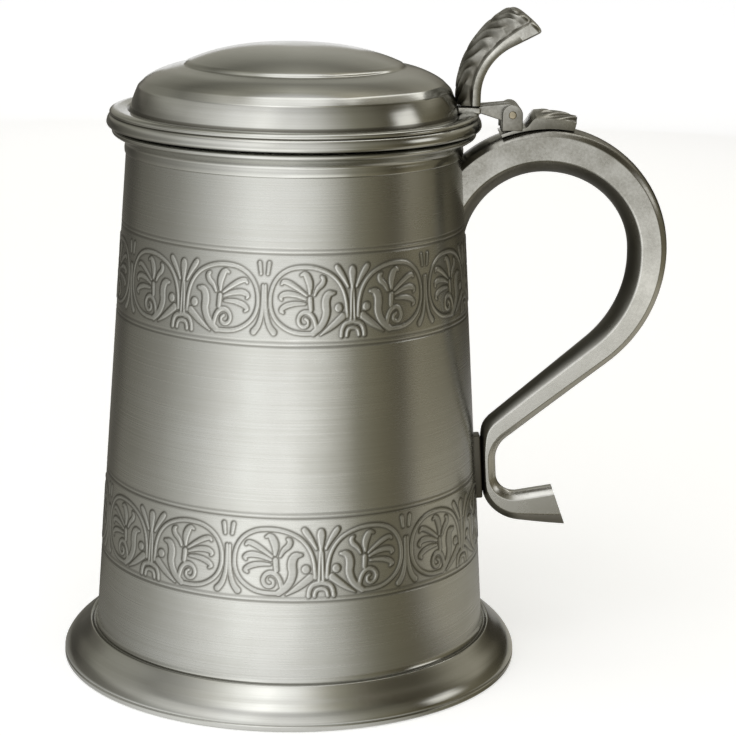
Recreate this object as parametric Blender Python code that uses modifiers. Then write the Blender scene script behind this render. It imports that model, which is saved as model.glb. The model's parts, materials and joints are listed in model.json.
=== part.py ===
"""Lidded pewter tankard: a tapered drum on a skirt foot, a scroll handle and a hinged, domed lid.

Metres, +Z up. The tankard stands on the plane z = 0, the handle points along +X, and the
origin is below the middle of the whole object's box. The lid turns about the hinge's barrel,
which lies along Y.
"""

import math

import bmesh
import bpy
from mathutils import Vector

# Drum: a cone, given by its radius where its side would meet the ground
DRUM_GROUND_RADIUS = 0.04578
DRUM_TAPER = 0.0681
DRUM_WALL = 0.0012
DRUM_FLARE = 0.0013
DRUM_FLARE_HEIGHT = 0.0034
RIM_HEIGHT = 0.1234

# Incised lines that bound the two ornamental bands, by the height of each band's middle
BAND_MIDDLES = (0.0355, 0.0923)
BAND_HEIGHT = 0.0197
LINE_WIDTH = 0.0008
LINE_DEPTH = 0.00022

# Lip: a moulding that spreads from a small bead up to the lid's edge
LIP_HEIGHT = 0.0055
LIP_OVERHANG = 0.0031
LIP_ROUND = 0.0005
LIP_COVE = 0.0004
LIP_BEAD_HEIGHT = 0.0016
LIP_BEAD_PROUD = 0.0005

# Foot and bottom
FOOT_HEIGHT = 0.0086
FOOT_SPREAD = 0.0060
FOOT_EDGE = 0.0012
FOOT_BULGE = 0.0013
FOOT_WALL = 0.0022
FOOT_SHELF = 0.0030
BASE_THICKNESS = 0.0016

# Lid
LID_OVERHANG = 0.0006
LID_EDGE_HEIGHT = 0.0037
LID_FLANGE = 0.0059
LID_SIDE_HEIGHT = 0.0031
LID_SHOULDER = 0.0113
LID_SHOULDER_HEIGHT = 0.0065
LID_STEP = 0.0007
LID_CROWN = 0.0040
LID_WALL = 0.0014
BEZEL_DEPTH = 0.0030
BEZEL_WALL = 0.0013
BEZEL_CLEARANCE = 0.0008

# Hinge
HINGE_REACH = 0.0071
HINGE_LIFT = 0.0038
KNUCKLE_RADIUS = 0.0023
PIN_RADIUS = 0.0009
PIN_PROUD = 0.0003
BARREL_WIDTH = 0.0104
HINGE_PLATE = 0.0013
STRAP_LENGTH = 0.0142
STRAP_THICKNESS = 0.0010
STRAP_LEAF_HEIGHT = 0.0030
STRAP_LEAF_RISE = 0.0026
STRAP_END_HEIGHT = 0.0019
STRAP_END_WIDTH = 0.0058
STRAP_CROWN_SHARE = 0.3
LEAF_CLEARANCE = 0.0008

# Handle
HANDLE_WIDTH = 0.0106
HANDLE_TAIL_WIDTH = 0.0052
HANDLE_CROWN = 0.0006
HANDLE_SIDE = 0.0024
BARREL_STAND = 0.0047
ARCH_FORWARD = 0.0081
ARCH_START = math.radians(172)
ARCH_RADIUS = 0.0279
ARCH_LOWER_RADIUS = 0.0330
ARCH_DEPTH = 0.0098
REACH_DEPTH = 0.0083
RUN_DEPTH = 0.0062
RUN_SLOPE = math.radians(38.9)
CURL_RADIUS = 0.0070
CURL_STRAIGHT = 0.0035
CURL_DEPTH = 0.0028
CURL_SWELL_START = math.radians(200)
CURL_FOOT_RADIUS = 0.0048
CURL_FOOT_DEPTH = 0.0068
TAIL_LENGTH = 0.0077
TAIL_DEPTH = 0.0087
TAIL_RISE = math.radians(10)
TAIL_RAKE = math.radians(10)
PAD_THICKNESS = 0.0009
PAD_HEIGHT = 0.0150
PAD_WIDTH = 0.0044

# Thumbpiece
THUMB_STEM = 0.0024
THUMB_CURVE = 0.0124
THUMB_TIP = 0.0070
THUMB_LEAN = math.radians(28)
THUMB_EDGE = 0.0026
THUMB_ROOT_DEPTH = 0.0052
THUMB_TIP_DEPTH = 0.0086
THUMB_ROOT_WIDTH = 0.0088
THUMB_TIP_WIDTH = 0.0142
THUMB_RAKE = math.radians(20)

# Space left between neighbouring pieces
GAP = 0.0003

# Facets round a full turn
ROUND_STEPS = 44
KNUCKLE_STEPS = 20


def drum_radius(z):
    return DRUM_GROUND_RADIUS - DRUM_TAPER * z


def around(angle):
    """The direction at an angle, measured from X towards Z."""
    return Vector((math.cos(angle), math.sin(angle)))


# Places worked out from the sizes above
LIP_BASE = RIM_HEIGHT - LIP_HEIGHT
LIP_RADIUS = drum_radius(LIP_BASE) + LIP_OVERHANG
FOOT_TOP_RADIUS = drum_radius(FOOT_HEIGHT) + DRUM_FLARE
FOOT_RADIUS = FOOT_TOP_RADIUS + FOOT_SPREAD
LID_SEAT = RIM_HEIGHT + GAP
LID_RADIUS = LIP_RADIUS + LID_OVERHANG
LID_SIDE_RADIUS = LID_RADIUS - LID_FLANGE
LID_DOME_RADIUS = LID_SIDE_RADIUS - LID_SHOULDER
LID_TOP_OF_FLANGE = LID_SEAT + LID_EDGE_HEIGHT
BEZEL_RADIUS = drum_radius(RIM_HEIGHT) - DRUM_WALL - BEZEL_CLEARANCE
BARREL_X = LID_RADIUS + HINGE_REACH
BARREL_Z = LID_SEAT + HINGE_LIFT
ARCH_X = BARREL_X + ARCH_FORWARD
ARCH_Z = BARREL_Z - BARREL_STAND - math.sqrt(ARCH_RADIUS**2 - ARCH_FORWARD**2)
HANDLE_REACH = ARCH_X + ARCH_RADIUS + HANDLE_CROWN
AXIS_X = (FOOT_RADIUS - HANDLE_REACH) / 2
WALL_FACING = math.pi + math.atan(DRUM_TAPER)


# Scene, collections and materials
for old in list(bpy.data.objects):
    bpy.data.objects.remove(old, do_unlink=True)

parts = bpy.data.collections.new("tankard")
cutters = bpy.data.collections.new("tankard_cutters")
for group in (parts, cutters):
    bpy.context.scene.collection.children.link(group)


def metal(name, colour, roughness):
    """A Principled material for one finish of the metal."""
    material = bpy.data.materials.new(name)
    material.use_nodes = True
    shader = material.node_tree.nodes["Principled BSDF"]
    shader.inputs["Base Color"].default_value = (*colour, 1)
    shader.inputs["Metallic"].default_value = 1
    shader.inputs["Roughness"].default_value = roughness
    return material


PEWTER = (0.46, 0.45, 0.41)
CAST_PEWTER = (0.42, 0.41, 0.37)
BRASS = (0.60, 0.46, 0.24)


def place(name, mesh, parent, material, location=(0, 0, 0)):
    """One sub-part: an object of this mesh, carried by an empty."""
    made = bpy.data.objects.new(name, mesh)
    made.parent = parent
    made.location = location
    made.data.materials.append(material)
    parts.objects.link(made)
    return made


def helper(name, mesh, parent):
    """A cutter, or a shape that a Boolean joins to a sub-part."""
    made = bpy.data.objects.new(name, mesh)
    made.parent = parent
    made.hide_render = True
    made.display_type = "WIRE"
    cutters.objects.link(made)
    return made


def boolean(target, operation, others):
    for other in others:
        modifier = target.modifiers.new(other.name, "BOOLEAN")
        modifier.operation = operation
        modifier.object = other
        modifier.solver = "EXACT"


def carrier(name, parent, location):
    empty = bpy.data.objects.new(name, None)
    empty.empty_display_size = 0.01
    empty.parent = parent
    empty.location = location
    parts.objects.link(empty)
    return empty


# The vessel's frame stands on the drum's axis, and the lid's frame lies on the hinge
vessel = carrier("vessel_frame", None, (AXIS_X, 0, 0))
lid = carrier("lid_frame", vessel, (BARREL_X, 0, BARREL_Z))


# Turned shapes
def arc(centre, radius, start, end, count):
    """Points of an arc in the (radius or x, z) plane, with angles in degrees."""
    turns = [math.radians(start + (end - start) * i / count) for i in range(count + 1)]
    return [(centre[0] + radius * math.cos(a), centre[1] + radius * math.sin(a)) for a in turns]


def bulged(start, end, bulge, count):
    """An arc from start to end that stands out from their chord by bulge, on its left side."""
    chord = Vector(end) - Vector(start)
    left = Vector((-chord.y, chord.x)).normalized()
    shares = [i / count for i in range(count + 1)]
    return [tuple(Vector(start) + chord * t + left * bulge * 4 * t * (1 - t)) for t in shares]


def profile_mesh(name, profile, closed):
    mesh = bpy.data.meshes.new(name)
    count = len(profile)
    edges = [(i, i + 1) for i in range(count - 1)]
    if closed:
        edges.append((count - 1, 0))
    mesh.from_pydata([(r, 0, z) for r, z in profile], edges, [])
    return mesh


def turn(made):
    screw = made.modifiers.new("turned", "SCREW")
    screw.axis = "Z"
    screw.steps = screw.render_steps = ROUND_STEPS
    screw.use_merge_vertices = True
    screw.merge_threshold = 0.00001
    return made


def turned(name, profile, parent, material, closed=True, location=(0, 0, 0)):
    return turn(place(name, profile_mesh(name, profile, closed), parent, material, location))


# Drum
def incised_lines():
    """The drum's outer side from its top to its flare, with a shallow V at each edge of a band."""
    heights = [m + side * BAND_HEIGHT / 2 for m in BAND_MIDDLES for side in (1, -1)]
    points = []
    for z in sorted(heights, reverse=True):
        points += [(drum_radius(z + LINE_WIDTH / 2), z + LINE_WIDTH / 2)]
        points += [(drum_radius(z) - LINE_DEPTH, z)]
        points += [(drum_radius(z - LINE_WIDTH / 2), z - LINE_WIDTH / 2)]
    return points


def make_drum():
    top = LIP_BASE
    bottom = FOOT_HEIGHT
    flare_top = bottom + DRUM_FLARE_HEIGHT
    flare_start = (drum_radius(flare_top), flare_top)
    flare_end = (FOOT_TOP_RADIUS, bottom)
    flare = bulged(flare_start, flare_end, -DRUM_FLARE / 4, 4)
    outside = [(drum_radius(top), top), *incised_lines(), *flare]
    inside = [(drum_radius(bottom) - DRUM_WALL, bottom), (drum_radius(top) - DRUM_WALL, top)]
    return turned("drum", outside + inside, vessel, metal("brushed_pewter", PEWTER, 0.34))


def lip_outside():
    """From the rim down: a rounded edge, a cove and a bead on the drum's top."""
    bottom = LIP_BASE + GAP
    bead_top = bottom + LIP_BEAD_HEIGHT
    edge = (LIP_RADIUS, RIM_HEIGHT - LIP_ROUND)
    neck = (drum_radius(bead_top), bead_top)
    cove = bulged(edge, neck, -LIP_COVE, 5)
    bead = bulged(neck, (drum_radius(bottom), bottom), LIP_BEAD_PROUD, 4)
    return [(LIP_RADIUS - LIP_ROUND, RIM_HEIGHT), *cove, *bead[1:]]


def make_lip_ring():
    inside = [(drum_radius(z) - DRUM_WALL, z) for z in (LIP_BASE + GAP, RIM_HEIGHT)]
    return turned("lip_ring", lip_outside() + inside, vessel, metal("lip_pewter", PEWTER, 0.28))


def make_foot_ring():
    """A skirt with a round outer side, hollow underneath, and a shelf that the drum stands on."""
    top = FOOT_HEIGHT - GAP
    shelf_radius = drum_radius(top) - DRUM_WALL - FOOT_SHELF
    side = bulged((FOOT_TOP_RADIUS - GAP, top), (FOOT_RADIUS, FOOT_EDGE), FOOT_BULGE, 7)
    edge = [(FOOT_RADIUS - GAP, 0), (FOOT_RADIUS - FOOT_WALL - GAP, 0)]
    under = top - FOOT_WALL
    hollow = [(FOOT_RADIUS - FOOT_WALL - GAP, FOOT_EDGE), (FOOT_TOP_RADIUS - FOOT_WALL, under)]
    profile = [(shelf_radius, top), *side, *edge, *hollow, (shelf_radius, under)]
    return turned("foot_ring", profile, vessel, metal("foot_pewter", PEWTER, 0.26))


def make_base_disc():
    bottom = FOOT_HEIGHT
    top = bottom + BASE_THICKNESS
    radius = drum_radius(top) - DRUM_WALL - GAP
    profile = [(0, top), (radius, top), (radius, bottom), (0, bottom)]
    return turned("base_disc", profile, vessel, metal("base_pewter", PEWTER, 0.38), closed=False)


# Lid
def lid_shoulder(inset, count):
    """The round shoulder from the foot of the dome to the top of the side, or its inner face."""
    side_top = LID_TOP_OF_FLANGE + LID_SIDE_HEIGHT
    turns = [math.pi / 2 * (1 - i / count) for i in range(count + 1)]
    across = LID_SHOULDER - inset
    rise = LID_SHOULDER_HEIGHT - inset
    return [(LID_DOME_RADIUS + across * math.cos(a), side_top + rise * math.sin(a)) for a in turns]


def make_lid_cover():
    """From the middle of the dome down to the flange, and back up its inner face."""
    dome_edge = LID_TOP_OF_FLANGE + LID_SIDE_HEIGHT + LID_SHOULDER_HEIGHT + LID_STEP
    apex = dome_edge + LID_CROWN
    dome = bulged((0, apex), (LID_DOME_RADIUS - LID_STEP, dome_edge), LID_CROWN / 3, 6)
    side_foot = [(LID_SIDE_RADIUS + LID_STEP / 2, LID_TOP_OF_FLANGE)]
    round_edge = LID_EDGE_HEIGHT / 2
    edge = arc((LID_RADIUS - round_edge, LID_SEAT + round_edge), round_edge, 80, -90, 7)
    inner_foot = [(LID_SIDE_RADIUS - LID_WALL, LID_SEAT)]
    inside = inner_foot + lid_shoulder(LID_WALL, 4)[::-1] + [(0, apex - LID_WALL)]
    outside = dome + lid_shoulder(0, 6) + side_foot + edge
    profile = [(r, z - BARREL_Z) for r, z in outside + inside]
    material = metal("polished_pewter", PEWTER, 0.24)
    return turned("lid_cover", profile, lid, material, closed=False, location=(-BARREL_X, 0, 0))


def make_lid_bezel():
    top = LID_SEAT - GAP
    bottom = top - BEZEL_DEPTH
    inner = BEZEL_RADIUS - BEZEL_WALL
    profile = [(BEZEL_RADIUS, top), (BEZEL_RADIUS, bottom), (inner, bottom), (inner, top)]
    profile = [(r, z - BARREL_Z) for r, z in profile]
    material = metal("bezel_pewter", PEWTER, 0.36)
    return turned("lid_bezel", profile, lid, material, location=(-BARREL_X, 0, 0))


# Lofted shapes: sections set along a path in the XZ plane
def d_section(width, depth, side, crown):
    """A crowned back, flat sides and a round belly, as (across, depth) points."""
    half = width / 2
    side = min(side, depth / 2)
    back = [(half * x, -crown * (1 - x * x)) for x in (-1, -0.5, 0, 0.5, 1)]
    turns = [math.pi * i / 8 for i in range(9)]
    belly = [(half * math.cos(a), side + (depth - side) * math.sin(a)) for a in turns]
    return back + belly


def loft(name, rings):
    """A closed skin through rings of points, with a cap at each end."""
    skin = bmesh.new()
    loops = [[skin.verts.new(point) for point in ring] for ring in rings]
    for near, far in zip(loops, loops[1:]):
        for i in range(len(near)):
            j = (i + 1) % len(near)
            skin.faces.new((near[i], near[j], far[j], far[i]))
    skin.faces.new(loops[0][::-1])
    skin.faces.new(loops[-1])
    bmesh.ops.recalc_face_normals(skin, faces=skin.faces)
    mesh = bpy.data.meshes.new(name)
    skin.to_mesh(mesh)
    skin.free()
    mesh.shade_smooth()
    mesh.set_sharp_from_angle(angle=math.radians(40))
    return mesh


def set_section(point, direction, section, rake=0):
    """Section points in space: depth runs to the right of the path's direction in XZ, turned by rake."""
    angle = math.atan2(direction[1], direction[0]) - math.pi / 2 + rake
    right = Vector((math.cos(angle), 0, math.sin(angle)))
    middle = Vector((point[0], 0, point[1]))
    return [middle + right * depth + Vector((0, across, 0)) for across, depth in section]


def eased(start, end, share):
    smooth = share * share * (3 - 2 * share)
    return start + (end - start) * smooth


# Handle
def handle_layout():
    """The straight run's two ends and the curl's upper and lower centre, from the arch to the drum."""
    slope = around(RUN_SLOPE)
    outward = Vector((slope.y, -slope.x))
    lower_centre = Vector((ARCH_X - ARCH_LOWER_RADIUS + ARCH_RADIUS, ARCH_Z))
    run_start = lower_centre + outward * ARCH_LOWER_RADIUS
    stand = GAP + PAD_THICKNESS + GAP + CURL_DEPTH + CURL_RADIUS
    from_wall = run_start + outward * CURL_RADIUS
    spare = from_wall.x - drum_radius(from_wall.y) + stand / math.cos(WALL_FACING)
    length = spare / (slope.x + DRUM_TAPER * slope.y)
    run_end = run_start - slope * length
    curl_centre = run_end + outward * CURL_RADIUS
    down = around(WALL_FACING + math.pi / 2)
    foot_centre = curl_centre + around(WALL_FACING) * (CURL_RADIUS - CURL_FOOT_RADIUS)
    return lower_centre, run_start, run_end, curl_centre, foot_centre + down * CURL_STRAIGHT


def flat_depth(radius, angle):
    """The curl's depth where its back is flat, to stand on the pad."""
    return (radius + CURL_DEPTH) / math.cos(angle - WALL_FACING) - radius


def foot_depth(angle):
    """The lower curl's depth, which swells towards the tail."""
    if angle < CURL_SWELL_START:
        return flat_depth(CURL_FOOT_RADIUS, angle)
    start = flat_depth(CURL_FOOT_RADIUS, CURL_SWELL_START)
    share = (angle - CURL_SWELL_START) / (1.5 * math.pi + TAIL_RISE - CURL_SWELL_START)
    return start + (CURL_FOOT_DEPTH - start) * share


def steps_between(start, end, count):
    """Even steps after start, up to and including end."""
    return [start + (end - start) * i / count for i in range(1, count + 1)]


def handle_stations():
    """(point, direction, depth, taper, rake) along the back, from inside the drum to the tail."""
    lower_centre, run_start, run_end, curl_centre, foot_centre = handle_layout()
    arch_centre = Vector((ARCH_X, ARCH_Z))
    stations = []
    for angle in [ARCH_START, *steps_between(ARCH_START, 0, 17)]:
        depth = eased(ARCH_DEPTH, REACH_DEPTH, max(0, 1 - 2 * angle / math.pi))
        point = arch_centre + around(angle) * ARCH_RADIUS
        stations.append((point, around(angle - math.pi / 2), depth, 0, 0))
    lower_turn = math.pi / 2 - RUN_SLOPE
    lower_depth = (REACH_DEPTH + RUN_DEPTH) / 2
    for share in steps_between(0, 1, 5):
        angle = -lower_turn * share
        depth = REACH_DEPTH + (lower_depth - REACH_DEPTH) * share
        point = lower_centre + around(angle) * ARCH_LOWER_RADIUS
        stations.append((point, around(angle - math.pi / 2), depth, share / 2, 0))
    along = run_end - run_start
    for share in (0.5, 1):
        depth = lower_depth + (RUN_DEPTH - lower_depth) * share
        stations.append((run_start + along * share, along, depth, (1 + share) / 2, 0))
    for angle in steps_between(math.pi / 2 + RUN_SLOPE, WALL_FACING, 5):
        depth = min(RUN_DEPTH, flat_depth(CURL_RADIUS, angle))
        point = curl_centre + around(angle) * CURL_RADIUS
        stations.append((point, around(angle + math.pi / 2), depth, 1, 0))
    tail_angle = 1.5 * math.pi + TAIL_RISE
    for angle in [WALL_FACING, *steps_between(WALL_FACING, tail_angle, 8)]:
        point = foot_centre + around(angle) * CURL_FOOT_RADIUS
        stations.append((point, around(angle + math.pi / 2), foot_depth(angle), 1, 0))
    tail = around(TAIL_RISE)
    tail_from = foot_centre + around(tail_angle) * CURL_FOOT_RADIUS
    for share in (0.5, 1):
        depth = CURL_FOOT_DEPTH + (TAIL_DEPTH - CURL_FOOT_DEPTH) * share
        stations.append((tail_from + tail * TAIL_LENGTH * share, tail, depth, 1, TAIL_RAKE * share))
    return stations


def make_vessel_clearance():
    """The drum and lip with the gap added: what the handle and its pad are cut to fit."""
    side = [*lip_outside(), (drum_radius(0), 0)]
    profile = [(0, RIM_HEIGHT), *[(r + GAP, z) for r, z in side], (0, 0)]
    return turn(helper("vessel_clearance", profile_mesh("vessel_clearance", profile, False), vessel))


def make_handle(clearance):
    rings = []
    for point, direction, depth, taper, rake in handle_stations():
        width = eased(HANDLE_WIDTH, HANDLE_TAIL_WIDTH, taper)
        section = d_section(width, depth, HANDLE_SIDE, HANDLE_CROWN)
        rings.append(set_section(point, direction, section, rake))
    handle = place("handle", loft("handle", rings), vessel, metal("cast_pewter", CAST_PEWTER, 0.36))
    boolean(handle, "DIFFERENCE", [clearance])
    return handle


def extruded(name, outline, low, high):
    """An outline in the XZ plane, drawn out along Y from low to high."""
    shape = bmesh.new()
    face = shape.faces.new([shape.verts.new((x, low, z)) for x, z in outline])
    grown = bmesh.ops.extrude_face_region(shape, geom=[face])
    moved = [v for v in grown["geom"] if isinstance(v, bmesh.types.BMVert)]
    bmesh.ops.translate(shape, vec=(0, high - low, 0), verts=moved)
    bmesh.ops.recalc_face_normals(shape, faces=shape.faces)
    mesh = bpy.data.meshes.new(name)
    shape.to_mesh(mesh)
    shape.free()
    return mesh


def make_handle_pad(clearance):
    """A strip as deep as the space between the drum and the curl's flat back."""
    curl_centre, foot_centre = handle_layout()[3:]
    middle = (curl_centre.y + foot_centre.y) / 2
    low, high = middle - PAD_HEIGHT / 2, middle + PAD_HEIGHT / 2
    outer = (GAP + PAD_THICKNESS) / -math.cos(WALL_FACING)
    outline = [(drum_radius(z) + outer, z) for z in (low, high)]
    outline += [(drum_radius(z) - outer, z) for z in (high, low)]
    mesh = extruded("handle_pad", outline, -PAD_WIDTH / 2, PAD_WIDTH / 2)
    pad = place("handle_pad", mesh, vessel, metal("solder", PEWTER, 0.42))
    boolean(pad, "DIFFERENCE", [clearance])
    return pad


# Hinge
def lug_spans():
    """The five lugs' ends along Y, which fill the barrel's width with a gap between neighbours."""
    width = (BARREL_WIDTH - 4 * GAP) / 5
    starts = [-BARREL_WIDTH / 2 + i * (width + GAP) for i in range(5)]
    return [(start, start + width) for start in starts]


def bore(name, centre, parent):
    """The pin's hole through all the lugs."""
    circle = arc(centre, PIN_RADIUS + GAP, 0, 360, KNUCKLE_STEPS)[:-1]
    return helper(name, extruded(name, circle, -BARREL_WIDTH, BARREL_WIDTH), parent)


def strap_mesh():
    """A strip along the handle's back that steps up into a leaf past the lugs and falls to its end."""
    under = HANDLE_CROWN + GAP
    start = math.pi / 2 + (ARCH_FORWARD + KNUCKLE_RADIUS) / ARCH_RADIUS
    leaf_from = 2 * KNUCKLE_RADIUS + LEAF_CLEARANCE
    length = STRAP_LENGTH + KNUCKLE_RADIUS
    leaf_top = leaf_from + STRAP_LEAF_RISE
    runs = [0, leaf_from / 2, leaf_from, (leaf_from + leaf_top) / 2, leaf_top]
    rings = []
    for run in runs + steps_between(leaf_top, length, 6):
        risen = min(1, max(0, run - leaf_from) / STRAP_LEAF_RISE)
        fallen = max(0, run - leaf_top) / (length - leaf_top)
        leaf_height = STRAP_LEAF_HEIGHT + (STRAP_END_HEIGHT - STRAP_LEAF_HEIGHT) * fallen
        height = eased(STRAP_THICKNESS, leaf_height, risen)
        half = (BARREL_WIDTH + (STRAP_END_WIDTH - BARREL_WIDTH) * (run / length) ** 2) / 2
        top = [(half * x, -under - height * (1 - STRAP_CROWN_SHARE * x * x)) for x in (1, 0.5, 0, -0.5, -1)]
        angle = start - run / ARCH_RADIUS
        point = Vector((ARCH_X, ARCH_Z)) + around(angle) * ARCH_RADIUS
        section = [(-half, -under), (0, -under), (half, -under), *top]
        rings.append(set_section(point, around(angle - math.pi / 2), section))
    return loft("hinge_strap", rings)


def make_hinge_strap():
    strap = place("hinge_strap", strap_mesh(), vessel, metal("strap_pewter", CAST_PEWTER, 0.30))
    centre = (BARREL_X, BARREL_Z)
    foot = BARREL_Z - BARREL_STAND + HANDLE_CROWN + GAP + STRAP_THICKNESS / 2
    outline = arc(centre, KNUCKLE_RADIUS, 0, 180, KNUCKLE_STEPS)
    outline += [(BARREL_X - KNUCKLE_RADIUS, foot), (BARREL_X + KNUCKLE_RADIUS, foot)]
    lugs = []
    for i in (0, 2, 4):
        low, high = lug_spans()[i]
        name = f"fixed_lug_{i}"
        lugs.append(helper(name, extruded(name, outline, low, high), vessel))
    boolean(strap, "UNION", lugs)
    boolean(strap, "DIFFERENCE", [bore("fixed_bore", centre, vessel)])
    return strap


def make_hinge_pin():
    half = BARREL_WIDTH / 2 + PIN_PROUD
    circle = arc((0, 0), PIN_RADIUS, 0, 360, KNUCKLE_STEPS)[:-1]
    mesh = extruded("hinge_pin", circle, -half, half)
    mesh.shade_smooth()
    mesh.set_sharp_from_angle(angle=math.radians(40))
    return place("hinge_pin", mesh, vessel, metal("pin_brass", BRASS, 0.35), (BARREL_X, 0, BARREL_Z))


def plate_places():
    """The hinge plate's inner and outer edge and its underside, seen from the hinge."""
    inner = LID_SIDE_RADIUS + LID_STEP / 2 + GAP - BARREL_X
    outer = LID_RADIUS - BARREL_X
    return inner, outer, LID_TOP_OF_FLANGE + GAP - BARREL_Z


def make_lid_hinge_plate():
    inner, outer, under = plate_places()
    top = under + HINGE_PLATE
    half = BARREL_WIDTH / 2
    corners = [(inner, under), (outer, under), (outer, top), (inner, top)]
    plate_mesh = extruded("lid_hinge_plate", corners, -half, half)
    plate = place("lid_hinge_plate", plate_mesh, lid, metal("plate_pewter", CAST_PEWTER, 0.32))
    lug_root = outer - HINGE_PLATE
    outline = [(lug_root, top), (lug_root, under), (outer, under)]
    outline += arc((0, 0), KNUCKLE_RADIUS, 230, 450, KNUCKLE_STEPS)
    lugs = []
    for i in (1, 3):
        low, high = lug_spans()[i]
        name = f"moving_lug_{i}"
        lugs.append(helper(name, extruded(name, outline, low, high), lid))
    boolean(plate, "UNION", lugs)
    boolean(plate, "DIFFERENCE", [bore("moving_bore", (0, 0), lid)])
    return plate


# Thumbpiece
def make_thumbpiece():
    """A leaf whose back rises from the hinge plate, curves towards the handle and ends in a raked tip."""
    inner, _, under = plate_places()
    root = Vector((inner + THUMB_ROOT_DEPTH, under + HINGE_PLATE + GAP))
    centre = root + Vector((THUMB_CURVE, THUMB_STEM))
    lean = math.pi / 2 + THUMB_LEAN
    tip_from = centre + around(lean) * THUMB_CURVE
    forward = around(THUMB_LEAN)
    path = [(tip_from + forward * THUMB_TIP * share, -forward) for share in (1, 0.66, 0.33)]
    for angle in [lean, *steps_between(lean, math.pi, 7)]:
        path.append((centre + around(angle) * THUMB_CURVE, around(angle + math.pi / 2)))
    path.append((root, around(-math.pi / 2)))
    rings = []
    for i, (point, direction) in enumerate(path):
        share = 1 - i / (len(path) - 1)
        depth = eased(THUMB_ROOT_DEPTH, THUMB_TIP_DEPTH, share)
        width = eased(THUMB_ROOT_WIDTH, THUMB_TIP_WIDTH, share)
        section = d_section(width, depth, THUMB_EDGE, 0)
        rings.append(set_section(point, direction, section, THUMB_RAKE * share**4))
    return place("thumbpiece", loft("thumbpiece", rings), lid, metal("leaf_pewter", CAST_PEWTER, 0.30))


# The whole tankard
make_drum()
make_lip_ring()
make_foot_ring()
make_base_disc()
vessel_clearance = make_vessel_clearance()
make_handle(vessel_clearance)
make_handle_pad(vessel_clearance)
make_hinge_strap()
make_hinge_pin()
make_lid_cover()
make_lid_bezel()
make_lid_hinge_plate()
make_thumbpiece()
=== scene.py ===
import json
import math

import bmesh
import bpy
import numpy as np
from mathutils import Matrix, Vector


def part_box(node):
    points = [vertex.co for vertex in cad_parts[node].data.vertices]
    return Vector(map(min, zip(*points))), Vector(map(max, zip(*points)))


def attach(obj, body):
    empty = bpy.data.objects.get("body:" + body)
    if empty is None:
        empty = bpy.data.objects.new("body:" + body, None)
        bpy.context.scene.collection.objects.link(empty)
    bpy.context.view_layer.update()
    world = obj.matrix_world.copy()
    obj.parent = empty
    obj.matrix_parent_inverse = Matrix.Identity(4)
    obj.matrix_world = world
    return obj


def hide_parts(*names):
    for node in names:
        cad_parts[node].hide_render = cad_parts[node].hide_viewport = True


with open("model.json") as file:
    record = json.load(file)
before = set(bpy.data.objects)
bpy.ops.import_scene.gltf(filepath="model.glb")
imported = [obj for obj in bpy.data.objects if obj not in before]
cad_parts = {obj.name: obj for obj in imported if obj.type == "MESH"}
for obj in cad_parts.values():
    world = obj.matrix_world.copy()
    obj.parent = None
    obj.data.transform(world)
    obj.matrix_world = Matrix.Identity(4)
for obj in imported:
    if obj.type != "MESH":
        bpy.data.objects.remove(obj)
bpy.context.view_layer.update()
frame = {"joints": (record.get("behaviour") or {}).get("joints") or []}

# Drum
# The tapered wall that holds the drink: pewter sheet rolled to a cone, soldered and brushed
# round its axis. A shallow channel takes each of the two ornamental bands.
AXIS_X = sum(corner.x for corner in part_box("foot_ring")) / 2
DRUM_GROUND_RADIUS = 0.04578
DRUM_TAPER = 0.0681
DRUM_WALL = 0.0012
DRUM_TOP = 0.1182
DRUM_BOTTOM = 0.0084
DRUM_FLARE = 0.0003
DRUM_FLARE_HEIGHT = 0.0012
UPPER_BAND = (0.08187, 0.10343)
LOWER_BAND = (0.02604, 0.04636)
CHANNEL_DEPTH = 0.0005
FLARE_POLISH = 0.55
TURNING_STEPS = 192
MERGE = 0.000002
PEWTER = (0.468, 0.469, 0.445, 1)
TARNISH = (0.295, 0.288, 0.238, 1)
TARNISH_SHARE = 0.18
TARNISH_CLOUD = 0.5
TARNISH_LINES = 5
CLOUD_DULLING = 0.12
LINES_SKEW = 0.7
LINES_STAND = 2
ROUND_THE_AXIS = 0.25
NOISE_MIDDLE = 0.5
FACTOR, FIRST_COLOUR, SECOND_COLOUR, MIXED_COLOUR = 0, 6, 7, 2


class Value:
    """A number in a node tree: Python's operators on it add Math nodes."""

    def __init__(self, look, socket):
        self.look = look
        self.socket = socket

    def maths(self, operation, first, second=0.0):
        return self.look.add("ShaderNodeMath", {"operation": operation}, {0: first, 1: second})

    def __add__(self, other):
        return self.maths("ADD", self, other)

    __radd__ = __add__

    def __sub__(self, other):
        return self.maths("SUBTRACT", self, other)

    def __rsub__(self, other):
        return self.maths("SUBTRACT", other, self)

    def __mul__(self, other):
        return self.maths("MULTIPLY", self, other)

    __rmul__ = __mul__

    def __truediv__(self, other):
        return self.maths("DIVIDE", self, other)


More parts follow.
